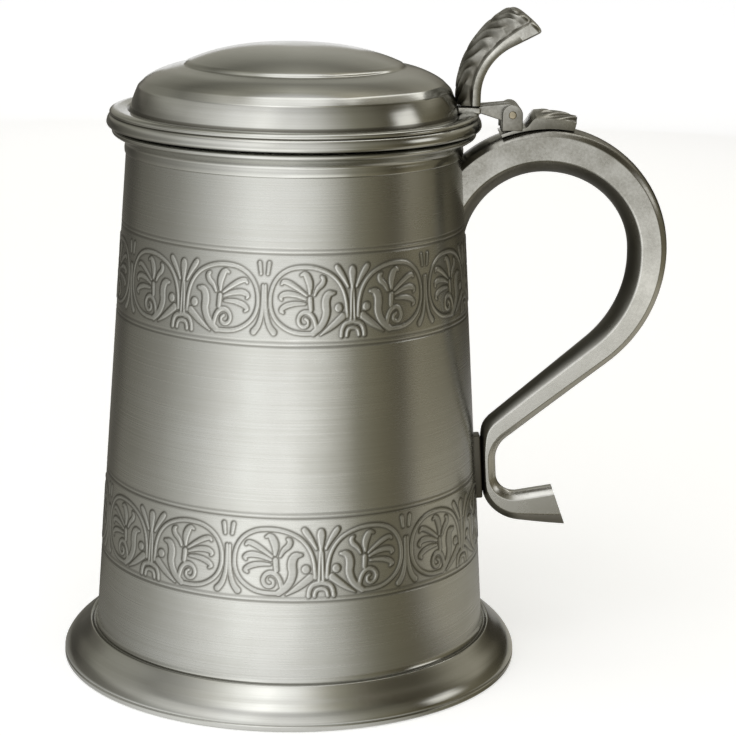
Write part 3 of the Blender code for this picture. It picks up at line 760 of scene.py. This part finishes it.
look, rubbed = cast("cast_pewter", 0.25, CAST_PEWTER)
# Lighter pewter low down on the handle, easing in downwards from the drum's top
lightened = look.smooth_share(look.part(look.place(), "Z"), LIGHTENING_TOP, LIGHTENING_FULL) * LIGHTENING_SHARE
look.feed("Base Color", look.mix(lightened, look.feeding("Base Color"), LOWER_PEWTER))
darken_hollows(look, depth=0.88)
handle = piece("scroll_handle", handle_shape(), rubbed, sharp=45)
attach(handle, "vessel")
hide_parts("handle")

# Solder pad
# The strip that fills the space between the drum and the handle's curl: pewter and solder, run in
# when the handle is fixed and left dull.
PAD_HEIGHT = 0.0150
PAD_WIDTH = 0.0044
PAD_THICKNESS = 0.0022
PAD_EASE = 0.0004
PAD_IN_WALL = 0.0007
SOLDER = (0.085, 0.08, 0.066, 1)


def soften(shape, edges, ease, segments):
    bmesh.ops.bevel(
        shape, geom=edges, offset=ease, affect="EDGES", segments=segments, profile=0.5, material=-1
    )


def block(size, middle, ease, segments):
    """A block with its edges rounded."""
    shape = bmesh.new()
    bmesh.ops.create_cube(shape, size=1)
    bmesh.ops.scale(shape, verts=shape.verts, vec=size)
    bmesh.ops.translate(shape, verts=shape.verts, vec=middle)
    soften(shape, shape.edges[:], ease, segments)
    return shape


def pad_shape():
    curl_centre, foot_centre = handle_layout()[3:]
    shape = block((PAD_THICKNESS, PAD_WIDTH, PAD_HEIGHT), (0, 0, 0), PAD_EASE, segments=4)
    middle = (curl_centre.y + foot_centre.y) / 2
    lean = Matrix.Rotation(-math.atan(DRUM_TAPER), 3, "Y")
    bmesh.ops.rotate(shape, verts=shape.verts, cent=(0, 0, 0), matrix=lean)
    out = drum_radius(middle) + PAD_THICKNESS / 2 - PAD_IN_WALL
    bmesh.ops.translate(shape, verts=shape.verts, vec=(AXIS_X + out, 0, middle))
    return shape


pad = piece("solder_pad", pad_shape(), cast("dull_solder", 0.45, SOLDER)[1], sharp=50)
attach(pad, "vessel")
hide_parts("handle_pad")

# Hinge strap
# A cast pewter leaf soldered along the handle's back. Its near end carries the three fixed lugs
# of the hinge, then it rises to a veined leaf and falls to a drop end.
HINGE = Vector(frame["joints"][0]["pos_m"])
BARREL_WIDTH = 0.0104
KNUCKLE_RADIUS = 0.0023
LUGS = 5
LUG_GAP = 0.0003
LUG_FOOT = 0.0036
LUG_EASE = 0.0002
# Painted shade at the lugs' feet, and how much of it fades away towards their tops
LUG_FOOT_SHADE = 0.9
LUG_SHADE_FADE = 0.8
STRAP_BACK = 0.0104
STRAP_START = math.pi / 2 + STRAP_BACK / ARCH_RADIUS
STRAP_LENGTH = 0.0165
STRAP_THICKNESS = 0.0010
STRAP_LEAF_FROM = 0.0054
STRAP_LEAF_RISE = 0.0026
STRAP_LEAF_HEIGHT = 0.0039
STRAP_END_HEIGHT = 0.0030
STRAP_END_WIDTH = 0.0058
STRAP_UNDER = 0.0004
STRAP_ARCHING = 0.35
STRAP_VEIN = 0.00028
STRAP_VEINS_ACROSS = 9
STRAP_VEINS_ALONG = 1500
STRAP_VEINS_IN = 4
# Painted shade at the strap's under edges, fading up its sides
STRAP_SIDE_SHADE = 0.6
CARVED_PEWTER = (0.40, 0.395, 0.365, 1)


def strap_rings():
    """The strap's sections from the hinge to its drop end, with painted shade on its sides and tarnish in
    its veins.
    """
    rings, marks = [], []
    leaf_top = STRAP_LEAF_FROM + STRAP_LEAF_RISE
    spread = np.linspace(1, -1, num=41)
    for run in np.linspace(0, STRAP_LENGTH, num=90):
        risen = min(1, max(0, run - STRAP_LEAF_FROM) / STRAP_LEAF_RISE)
        fallen = max(0, run - leaf_top) / (STRAP_LENGTH - leaf_top)
        leaf_height = STRAP_LEAF_HEIGHT + (STRAP_END_HEIGHT - STRAP_LEAF_HEIGHT) * fallen
        height = eased(STRAP_THICKNESS, leaf_height, risen)
        half = (BARREL_WIDTH + (STRAP_END_WIDTH - BARREL_WIDTH) * (run / STRAP_LENGTH) ** 2) / 2
        veins = np.cos(spread * STRAP_VEINS_ACROSS + np.sign(spread) * run * STRAP_VEINS_ALONG)
        begun = eased(0, 1, min(1, fallen * STRAP_VEINS_IN))
        carved = STRAP_VEIN * veins * risen * begun * (1 - spread**4)
        top = -STRAP_UNDER - height * (1 - STRAP_ARCHING * spread**2) + carved
        angle = STRAP_START - run / ARCH_RADIUS
        under = [(-half, -STRAP_UNDER), (half, -STRAP_UNDER)]
        section = [*under, *zip(half * spread, top), under[0]]
        rings.append(set_section(*on_arc(ARCH_CENTRE, ARCH_RADIUS, angle, -1), section))
        hollows = np.clip(carved / STRAP_VEIN, 0, 1)
        marks.append([STRAP_SIDE_SHADE, STRAP_SIDE_SHADE, *hollows, STRAP_SIDE_SHADE])
    return rings, marks


def add_lug(shape, outline, number):
    """One of the five lugs along the barrel, drawn out of its outline and eased, with painted shade at its
    foot.
    """
    darkening = shape.verts.layers.float.get("hollow") or shape.verts.layers.float.new("hollow")
    width = (BARREL_WIDTH - (LUGS - 1) * LUG_GAP) / LUGS
    low = -BARREL_WIDTH / 2 + number * (width + LUG_GAP)
    corners = [shape.verts.new((x, low, z)) for x, z in outline]
    bottom = min(corner.co.z for corner in corners)
    height = max(corner.co.z for corner in corners) - bottom
    for corner in corners:
        # Painted shade: darkest at the lug's foot, lighter upwards
        corner[darkening] = LUG_FOOT_SHADE * (1 - LUG_SHADE_FADE * (corner.co.z - bottom) / height)
    face = shape.faces.new(corners)
    grown = bmesh.ops.extrude_face_region(shape, geom=[face])["geom"]
    moved = [part for part in grown if isinstance(part, bmesh.types.BMVert)]
    bmesh.ops.translate(shape, verts=moved, vec=(0, width, 0))
    ends = [edge for part in grown if isinstance(part, bmesh.types.BMFace) for edge in part.edges]
    soften(shape, [*ends, *face.edges], LUG_EASE, segments=3)


def barrel_arc(start, end, count):
    """Points of the barrel's round between two angles in degrees."""
    turns = [math.radians(start + (end - start) * i / count) for i in range(count + 1)]
    return [(HINGE.x + KNUCKLE_RADIUS * math.cos(a), HINGE.z + KNUCKLE_RADIUS * math.sin(a)) for a in turns]


strap_shape = capped(laid(*strap_rings()))
lug_feet = [(HINGE.x + side * KNUCKLE_RADIUS, HINGE.z - LUG_FOOT) for side in (-1, 1)]
fixed_outline = barrel_arc(0, 180, count=24) + lug_feet
for number in range(0, LUGS, 2):
    add_lug(strap_shape, fixed_outline, number)
bmesh.ops.recalc_face_normals(strap_shape, faces=strap_shape.faces)
look, carved_finish = cast("carved_pewter", 0.24, CARVED_PEWTER)
# Tarnish in the veins, painted shade on the strap's sides and the lugs' feet
darken_hollows(look, depth=0.9)
strap = piece("hinge_leaf", strap_shape, carved_finish, sharp=45)
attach(strap, "vessel")
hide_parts("hinge_strap")

# Hinge pin
# A length of drawn brass wire, pushed through all five lugs for the lid to turn on. Its ends are
# rounded over, and it has dulled to grey.
PIN_RADIUS = 0.0009
PIN_HALF = 0.0055
PIN_EASE = 0.0003
BRASS = (0.36, 0.32, 0.24, 1)
DULL_BRASS = (0.22, 0.19, 0.13, 1)
BRASS_POLISH = 0.25
BRASS_DULLING = 0.2
pin_shape = bmesh.new()
pin_size = {"radius1": PIN_RADIUS, "radius2": PIN_RADIUS, "depth": 2 * PIN_HALF}
bmesh.ops.create_cone(pin_shape, cap_ends=True, segments=32, **pin_size)
pin_rims = [edge for edge in pin_shape.edges if abs(edge.verts[0].co.z - edge.verts[1].co.z) < MERGE]
soften(pin_shape, pin_rims, PIN_EASE, segments=4)
across = Matrix.Rotation(math.pi / 2, 3, "X")
bmesh.ops.rotate(pin_shape, verts=pin_shape.verts, cent=(0, 0, 0), matrix=across)
bmesh.ops.translate(pin_shape, verts=pin_shape.verts, vec=HINGE)
look, brass = metal("pin_brass", BRASS_POLISH)
dulled = look.add("ShaderNodeTexNoise", {}, {"Vector": look.place(), "Scale": 900.0, "Detail": 3.0})
look.feed("Base Color", look.mix(dulled, BRASS, DULL_BRASS))
look.feed("Roughness", BRASS_POLISH + dulled * BRASS_DULLING)
pin = piece("hinge_wire", pin_shape, brass, sharp=45)
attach(pin, "vessel")
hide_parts("hinge_pin")

# Lid
# The cover, turned from a pewter casting: a low dome with a crease round it, a sloping shoulder, a
# steep side below a sharp edge, and a grooved flange that lies on the lip.
LID_SEAT = 0.1236
LID_RADIUS = 0.0420
LID_APEX = 0.1421
DOME_RADIUS = 0.0241
DOME_EDGE = 0.13815
DOME_FLATNESS = 2.7
LID_WALL = 0.0014
dome_shares = [i / 30 for i in range(31)]
dome_rise = LID_APEX - DOME_EDGE
dome = [(DOME_RADIUS * t, DOME_EDGE + dome_rise * (1 - t**DOME_FLATNESS), 0) for t in dome_shares]
lid_profile = [
    *dome,
    (0.0247, 0.13745, 0.0004),
    (0.0288, 0.13660, 0.0016),
    (0.0318, 0.13530, 0.0012),
    (0.0334, 0.13425, 0.0003),
    (0.0350, 0.13270, 0.0003),
    (0.0357, 0.13110, 0.0006),
    (0.0363, 0.12940, 0.0006),
    (0.0366, 0.12825, 0.0002),
    (0.0369, 0.12735, 0.0001),
    (0.0375, 0.12775, 0.0002),
    (0.0398, 0.12795, 0.0006),
    (0.0410, 0.12765, 0.0004),
    (0.0414, 0.12705, 0.0003),
    (0.0411, 0.12660, 0.0001),
    (0.0416, 0.12620, 0.0003),
    (LID_RADIUS, 0.12530, 0.0006),
    (LID_RADIUS, 0.12450, 0.0004),
    (LID_RADIUS - 0.0004, 0.12400, 0.0003),
    (0.0398, 0.12385, 0.0002),
    (0.0395, LID_SEAT, 0.0002),
    (0.0341, LID_SEAT, 0.0004),
    (0.0337, 0.12980, 0.0008),
    (0.0328, 0.13300, 0.0012),
    (0.0242, 0.13600, 0.0020),
    (0.0120, 0.14010, 0.0040),
    (0, LID_APEX - LID_WALL, 0),
]
# The crease and the flange's groove, darkened with tarnish and painted shade
LID_COVES = [(0.0369, 0.1275, 0.0008), (0.0368, 0.1278, 0.0006), (0.0411, 0.1266, 0.0003)]
look, finely_turned = brushed(
    "polished_pewter", roughness=0.16, fine=2200, along=8, scratching=0.06, anisotropy=0.2
)
darken_hollows(look, depth=0.96)
lid = piece("lid_dome", with_dark_coves(turned(lid_profile), LID_COVES), finely_turned, sharp=60)
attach(lid, "lid")
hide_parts("lid_cover")

# Bezel
# The locating ring under the lid, which drops inside the lip with a little play: a strip of pewter
# bent round, soldered to a ring and soldered to the lid.
BEZEL_RADIUS = 0.035376
BEZEL_WALL = 0.0013
BEZEL_TOP = 0.1240
BEZEL_BOTTOM = 0.1204
bezel_profile = [
    (BEZEL_RADIUS, BEZEL_TOP, 0),
    (BEZEL_RADIUS, BEZEL_BOTTOM, 0.0004),
    (BEZEL_RADIUS - BEZEL_WALL, BEZEL_BOTTOM, 0.0004),
    (BEZEL_RADIUS - BEZEL_WALL, BEZEL_TOP, 0),
]
bezel = piece("lid_bezel_ring", turned(bezel_profile), satin, sharp=50)
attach(bezel, "lid")
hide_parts("lid_bezel")

# Hinge plate
# The plate that joins the lid to its hinge: a small pewter casting, soldered on the lid's flange,
# with the two moving lugs.
PLATE_INNER = HINGE.x - 0.01235
PLATE_OUTER = HINGE.x - 0.0071
PLATE_UNDER = HINGE.z
PLATE_TOP = HINGE.z + 0.0015
PLATE_EASE = 0.0004
LUG_ROOT = PLATE_OUTER - 0.0013
plate_size = (PLATE_OUTER - PLATE_INNER, BARREL_WIDTH, PLATE_TOP - PLATE_UNDER)
plate_middle = ((PLATE_INNER + PLATE_OUTER) / 2, 0, (PLATE_UNDER + PLATE_TOP) / 2)
plate_shape = block(plate_size, plate_middle, PLATE_EASE, segments=3)
moving_outline = [(LUG_ROOT, PLATE_TOP), (LUG_ROOT, PLATE_UNDER), (PLATE_OUTER, PLATE_UNDER)]
moving_outline += barrel_arc(230, 450, count=28)
for number in range(1, LUGS, 2):
    add_lug(plate_shape, moving_outline, number)
bmesh.ops.recalc_face_normals(plate_shape, faces=plate_shape.faces)
plate = piece("lid_lugs", plate_shape, carved_finish, sharp=45)
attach(plate, "lid")
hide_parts("lid_hinge_plate")

# Thumbpiece
# A pewter acanthus leaf that the thumb presses to lift the lid, cast and soldered to the hinge plate:
# a smooth curved strip behind, a groove, and a veined front of darkened lobes that flares to a
# round tip.
THUMB_ROOT = Vector((-0.00715, 0.0018))
THUMB_STEM = 0.0024
THUMB_CURVE = 0.0124
THUMB_TIP = 0.0068
THUMB_LEAN = math.radians(28)
THUMB_STRIP = 0.0022
THUMB_STRIP_TIP = 0.0034
THUMB_GROOVE = 0.0005
THUMB_ROOT_DEPTH = 0.0048
THUMB_TIP_DEPTH = 0.0074
THUMB_ROOT_WIDTH = 0.0088
THUMB_TIP_WIDTH = 0.0132
THUMB_RAKE = math.radians(24)
THUMB_ROUND = 0.0013
THUMB_EASE = 0.0004
THUMB_BACK_POINTS = 9
TIP_STEPS = 24
TIP_ANGLES = (84, 72, 58, 42, 24)
TIP_ROUNDING = 0.6
LEAF_POINTS = 61
LEAF_STEP = 0.0003
LOBES = 17
LOBE_DEPTH = 0.07
VEIN = 0.00042
VEINS_ACROSS = 14
VEINS_ALONG = 44
WANDER, WANDER_ALONG, WANDER_ACROSS = 0.9, 21, 3
VEIN_TARNISH = 0.45
# How much the leaf's front lightens from its root to its tip
TIP_LIGHTENING = 0.7


def thumb_path():
    """(point, direction) down the leaf's back, from its tip to its root."""
    centre = THUMB_ROOT + Vector((THUMB_CURVE, THUMB_STEM))
    lean = math.pi / 2 + THUMB_LEAN
    tip_from = centre + around(lean) * THUMB_CURVE
    forward = around(THUMB_LEAN)
    path = [(tip_from + forward * THUMB_TIP * (1 - i / TIP_STEPS), -forward) for i in range(TIP_STEPS)]
    for angle in [lean, *steps_between(lean, math.pi, count=56)]:
        path.append(on_arc(centre, THUMB_CURVE, angle, 1))
    for height in steps_between(THUMB_STEM, 0, count=8):
        path.append((THUMB_ROOT + Vector((0, height)), around(-math.pi / 2)))
    return path


def thumb_section(share):
    """The leaf's (across, depth) points and their marks at a share of its length from the root."""
    depth = eased(THUMB_ROOT_DEPTH, THUMB_TIP_DEPTH, share**1.5)
    half = eased(THUMB_ROOT_WIDTH, THUMB_TIP_WIDTH, share) / 2
    strip = eased(THUMB_STRIP, THUMB_STRIP_TIP, max(0, share * 2 - 1))
    turns = np.linspace(0, math.pi, LEAF_POINTS)
    spread = np.cos(turns)
    lobes = 1 - LOBE_DEPTH * abs(math.sin(share * LOBES)) * (1 - np.sin(turns) ** 4)
    wander = WANDER * np.sin(share * WANDER_ALONG + abs(spread) * WANDER_ACROSS)
    veins = np.cos(abs(spread) * VEINS_ACROSS - share * VEINS_ALONG + wander) * np.sin(turns) ** 0.5
    rise = (depth - strip) * np.sin(turns) ** 0.8
    flat = half - THUMB_EASE
    groove = half - THUMB_GROOVE
    belly = zip(groove * spread * lobes, strip + LEAF_STEP + rise + VEIN * veins)
    side = [(flat, 0), (half, THUMB_EASE), (half, strip - THUMB_EASE), (groove, strip)]
    back = [(flat * x, 0) for x in np.linspace(-1, 1, THUMB_BACK_POINTS)]
    other = [(-across, deep) for across, deep in reversed(side)]
    darkening = np.clip(1 - TIP_LIGHTENING * share - VEIN_TARNISH * veins, 0, 1)
    marks = [0] * THUMB_BACK_POINTS + [0, 0, 0, 1, *darkening, 1, 0, 0, 0] + [0]
    return [*back, *side, *belly, *other, back[0]], marks


def thumb_rings():
    """The leaf's sections from its rounded tip to its root, and their marks."""
    rings, marks = [], []
    path = thumb_path()
    tip, along = path[0]
    section, tip_marks = thumb_section(1)
    middle = np.mean(section, axis=0)
    for angle in np.radians(TIP_ANGLES):
        size = math.cos(angle) ** TIP_ROUNDING
        shrunk = [tuple(middle + (np.array(point) - middle) * size) for point in section]
        end = tip - along * THUMB_ROUND * math.sin(angle)
        rings.append(set_section(end, along, shrunk, THUMB_RAKE, HINGE))
        marks.append(tip_marks)
    for i, (point, direction) in enumerate(path):
        share = 1 - i / (len(path) - 1)
        section, section_marks = thumb_section(share)
        rings.append(set_section(point, direction, section, THUMB_RAKE * share**4, HINGE))
        marks.append(section_marks)
    return rings, marks


thumb = piece("thumb_leaf", capped(laid(*thumb_rings())), carved_finish, sharp=45)
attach(thumb, "lid")
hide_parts("thumbpiece")

# Studio
# A white floor in a white world. Round the tankard stands a tent of grey and white cloth that the
# camera doesn't see: bright in front and overhead, dim and warm on the right with a few windows, and
# open low at the back.
TENT_RADIUS = 0.9
TENT_CENTRE = (AXIS_X, 0, 0.07)
CARD_HEIGHT = 0.0003
CARD_HOLE = 0.049
OPENING_LEFT = math.radians(-10)
OPENING_RIGHT = math.radians(6)
OPENING_TOP = math.radians(11)
FLOOR_SIZE = 4.0
FLOOR_DROP = 0.0001
GLOW_NEAR = 0.47
GLOW_FAR = 0.70
GLOW_FROM = 0.08
GLOW_TO = 0.90
FLOOR_PAINT = (0.8, 0.8, 0.8, 1)
WHITE = (1, 1, 1, 1)
AMBIENT = 0.35
scene = bpy.context.scene
scene.view_settings.view_transform = "Standard"


def seen(look):
    """1 for what the camera sees, straight or in a mirror or through glass."""
    rays = ("Is Camera Ray", "Is Glossy Ray", "Is Transmission Ray")
    straight, mirrored, through = [look.add("ShaderNodeLightPath", {}, {}, ray) for ray in rays]
    return straight + mirrored + through


world = bpy.data.worlds.new("studio")
world.use_nodes = True
world_look = Look(world.node_tree, world.node_tree.nodes["Background"])
world_look.feed("Strength", AMBIENT + (1 - AMBIENT) * seen(world_look))
world_look.feed("Color", WHITE)
scene.world = world


def stage_material(name):
    """A material with no shader yet: its look and the material."""
    material = bpy.data.materials.new(name)
    material.use_nodes = True
    tree = material.node_tree
    tree.nodes.remove(tree.nodes["Principled BSDF"])
    return Look(tree, tree.nodes["Material Output"]), material


look, white = stage_material("white_floor")
away = look.vector("LENGTH", look.place(), output="Value")
reach = {"Value": away, "From Min": GLOW_FROM, "From Max": GLOW_TO, "To Min": GLOW_NEAR, "To Max": GLOW_FAR}
whiteness = look.add("ShaderNodeMapRange", {}, reach) * seen(look)
glow = look.add("ShaderNodeEmission", {}, {"Color": WHITE, "Strength": whiteness})
paint = look.add("ShaderNodeBsdfDiffuse", {}, {"Color": FLOOR_PAINT})
look.feed("Surface", look.add("ShaderNodeAddShader", {}, {0: glow, 1: paint}))
floor_shape = bmesh.new()
bmesh.ops.create_grid(floor_shape, x_segments=1, y_segments=1, size=FLOOR_SIZE)
bmesh.ops.translate(floor_shape, verts=floor_shape.verts, vec=(0, 0, -FLOOR_DROP))
floor = piece("floor", floor_shape, white, sharp=45)

# The cloth's colour low down and high up, as a share of a turn with half of one in front, then red,
# green and blue
LOW_CLOTH = [
    (0.000, 0.30, 0.29, 0.25), (0.055, 0.20, 0.19, 0.165), (0.140, 0.11, 0.105, 0.09),
    (0.200, 0.18, 0.175, 0.155), (0.270, 0.29, 0.285, 0.265), (0.305, 0.42, 0.42, 0.40),
    (0.340, 0.57, 0.57, 0.56), (0.370, 0.73, 0.73, 0.72), (0.395, 0.88, 0.88, 0.875),
    (0.430, 1.08, 1.09, 1.09), (0.460, 1.06, 1.06, 1.06), (0.500, 0.98, 0.98, 0.98),
    (0.540, 0.80, 0.80, 0.78), (0.578, 0.46, 0.45, 0.41), (0.606, 0.25, 0.24, 0.19),
    (0.640, 0.18, 0.165, 0.115), (0.694, 0.07, 0.060, 0.038), (0.728, 0.19, 0.17, 0.115),
    (0.790, 0.16, 0.145, 0.100), (0.856, 0.08, 0.072, 0.048), (0.944, 0.10, 0.09, 0.07),
    (1.000, 0.30, 0.29, 0.25),
]
HIGH_CLOTH = [
    (0.000, 0.36, 0.355, 0.315), (0.040, 0.26, 0.255, 0.22), (0.080, 0.20, 0.195, 0.165),
    (0.130, 0.26, 0.255, 0.22), (0.180, 0.36, 0.355, 0.32), (0.267, 0.48, 0.475, 0.45),
    (0.330, 0.76, 0.76, 0.74), (0.400, 1.15, 1.15, 1.15), (0.440, 1.35, 1.35, 1.35),
    (0.480, 1.05, 1.05, 1.05), (0.505, 1.00, 1.00, 1.00), (0.540, 0.80, 0.80, 0.78),
    (0.580, 0.48, 0.47, 0.43), (0.620, 0.26, 0.25, 0.20), (0.700, 0.09, 0.08, 0.055),
    (0.770, 0.11, 0.10, 0.07), (0.820, 0.34, 0.32, 0.26), (0.870, 0.34, 0.32, 0.26),
    (0.940, 0.28, 0.27, 0.23), (1.000, 0.36, 0.355, 0.315),
]

# The cloth's brightness by its angle above the floor, with half a turn level
UPWARD_LIGHT = [
    (0.000, 0.4), (0.250, 1.3), (0.330, 1.3), (0.370, 1.2), (0.410, 1.65), (0.450, 1.95), (0.475, 1.80),
    (0.490, 1.35), (0.515, 1.3), (0.540, 1.5), (0.600, 1.3), (0.625, 0.9), (0.650, 1.3), (0.675, 2.0),
    (0.700, 1.8), (0.715, 1.3), (0.740, 1.95), (0.770, 1.95), (0.795, 0.50), (0.900, 0.36), (0.960, 0.45),
    (0.980, 0.80),
]

# Limits of the tent's parts and the ease outside them, on its bearing as a share of a turn and on
# its height as a sine
NO_LIMIT = 2
OVERHEAD = (0.985, NO_LIMIT, 0.05)
HIGH_UP = (0.42, NO_LIMIT, 0.22)
RIGHT_WINDOW = (0.720, 0.750, 0.025), (0.27, 0.40, 0.10)
FLOOR_LIGHT = (0.71, 0.97, 0.05), (-NO_LIMIT, -0.28, 0.12)
TABLE_LIGHT = (0.50, 0.580, 0.03), (-0.25, -0.13, 0.05)
NEAR_RIGHT = (0.535, 0.63, 0.04), (-0.50, -0.33, 0.08)
NOT_BACK, NOT_LOW = (0.16, 0.84, 0.05), (0.19, NO_LIMIT, 0.08)
SKY_SLANT = 0.45
SKY_ACROSS, SKY_HIGH, SKY_BACK = (0.28, 0.37, 0.04), (0.60, NO_LIMIT, 0.08), (0, NO_LIMIT, 0.06)
RIGHT_GLARE, SKY_GLARE, FLOOR_GLARE, TABLE_GLARE = 1.4, 1.6, 0.26, 0.4
LOW_BACK_SHADE = 0.55
NEAR_RIGHT_SHADE = 0.35
look, cloth = stage_material("tent_cloth")
facing = look.vector("NORMALIZE", look.vector("SUBTRACT", look.place(), TENT_CENTRE))
right, back, high = [look.part(facing, axis) for axis in "XYZ"]


def share_of_turn(opposite, adjacent):
    """An angle as a share of a turn, half of one straight ahead."""
    return 0.5 + opposite.maths("ARCTAN2", opposite, adjacent) / (2 * math.pi)


def between(value, low, high, ease):
    """1 between two limits, easing to 0 outside them."""
    return look.smooth_share(value, low - ease, low) * look.smooth_share(value, high + ease, high)


def patch(bearings, heights):
    """1 on a patch of the tent, easing to 0 outside the limits of its bearing and its height."""
    return between(bearing_share, *bearings) * between(high, *heights)


def ramp(rows, share):
    """The colour at a share, from rows of a position, red, green and blue."""
    stops = [(at, (*colour, 1)) for at, *colour in rows]
    return look.add("ShaderNodeValToRGB", {"stops": stops}, {"Fac": share})


level = right.maths("SQRT", right * right + back * back)
bearing_share = share_of_turn(right, 0 - back)
greys = [(at, grey, grey, grey) for at, grey in UPWARD_LIGHT]
low_light = ramp(greys, share_of_turn(high, level))
over_light = ramp(greys, share_of_turn(high, 0 - back))
overhead = between(high, *OVERHEAD)
strength = low_light + (over_light - low_light) * overhead
slant = right - back * SKY_SLANT
sky_window = between(slant, *SKY_ACROSS) * between(high, *SKY_HIGH) * between(back, *SKY_BACK)
window = patch(*RIGHT_WINDOW) * RIGHT_GLARE + sky_window * SKY_GLARE
window = window + patch(*FLOOR_LIGHT) * FLOOR_GLARE + patch(*TABLE_LIGHT) * TABLE_GLARE
cloth_colour = look.mix(
    between(high, *HIGH_UP), ramp(LOW_CLOTH, bearing_share), ramp(HIGH_CLOTH, bearing_share)
)
tint = look.mix(overhead, cloth_colour, WHITE)
low_back = (1 - between(bearing_share, *NOT_BACK)) * (1 - between(high, *NOT_LOW))
strength = strength * (1 - low_back * LOW_BACK_SHADE) * (1 - patch(*NEAR_RIGHT) * NEAR_RIGHT_SHADE)
tent_light = look.add("ShaderNodeEmission", {}, {"Color": tint, "Strength": strength})
window_light = look.add("ShaderNodeEmission", {}, {"Color": WHITE, "Strength": window})
look.feed("Surface", look.add("ShaderNodeAddShader", {}, {0: tent_light, 1: window_light}))


def bearing(face):
    """A tent panel's angle from the back, and its angle above the tankard's middle."""
    out = face.calc_center_median() - Vector(TENT_CENTRE)
    return math.atan2(out.x, out.y), math.asin(out.z / out.length)


def tent_part(name, flat):
    """The tent's walls, or the card that lies on the floor under it."""
    shape = bmesh.new()
    bmesh.ops.create_uvsphere(shape, u_segments=72, v_segments=60, radius=TENT_RADIUS)
    bmesh.ops.translate(shape, verts=shape.verts, vec=TENT_CENTRE)
    for vert in shape.verts:
        vert.co.z = max(vert.co.z, CARD_HEIGHT)
    gone = []
    for face in shape.faces:
        level = all(vert.co.z < 2 * CARD_HEIGHT for vert in face.verts)
        around_back, above = bearing(face)
        opening = OPENING_LEFT < around_back < OPENING_RIGHT and 0 < above < OPENING_TOP
        near = (face.calc_center_median() - Vector(TENT_CENTRE)).xy.length < CARD_HOLE
        if level != flat or opening or (flat and near):
            gone.append(face)
    bmesh.ops.delete(shape, geom=gone, context="FACES")
    made = piece(name, shape, cloth, sharp=45)
    made.visible_camera = False
    made.visible_shadow = False
    made.visible_diffuse = not flat


tent_part("light_tent", False)
tent_part("floor_card", True)

# Camera
# A long lens a little above the lid, as in the photograph. Its turns are those that bring the
# tankard's rings and edges over the photographed ones.
CAMERA_PLACE = (AXIS_X, -0.51365, 0.19678)
CAMERA_TILT = math.radians(90 - 14.081)
CAMERA_PAN = math.radians(-1.949)
CAMERA_ROLL = math.radians(1.028)
camera = bpy.data.objects.new("camera", bpy.data.cameras.new("camera"))
camera.data.lens = 112.33
camera.data.sensor_width = 36
tilt = Matrix.Rotation(CAMERA_TILT, 4, "X")
pan = Matrix.Rotation(CAMERA_PAN, 4, "Z")
roll = Matrix.Rotation(CAMERA_ROLL, 4, "Z")
camera.matrix_world = Matrix.Translation(CAMERA_PLACE) @ pan @ tilt @ roll
scene.collection.objects.link(camera)
scene.camera = camera
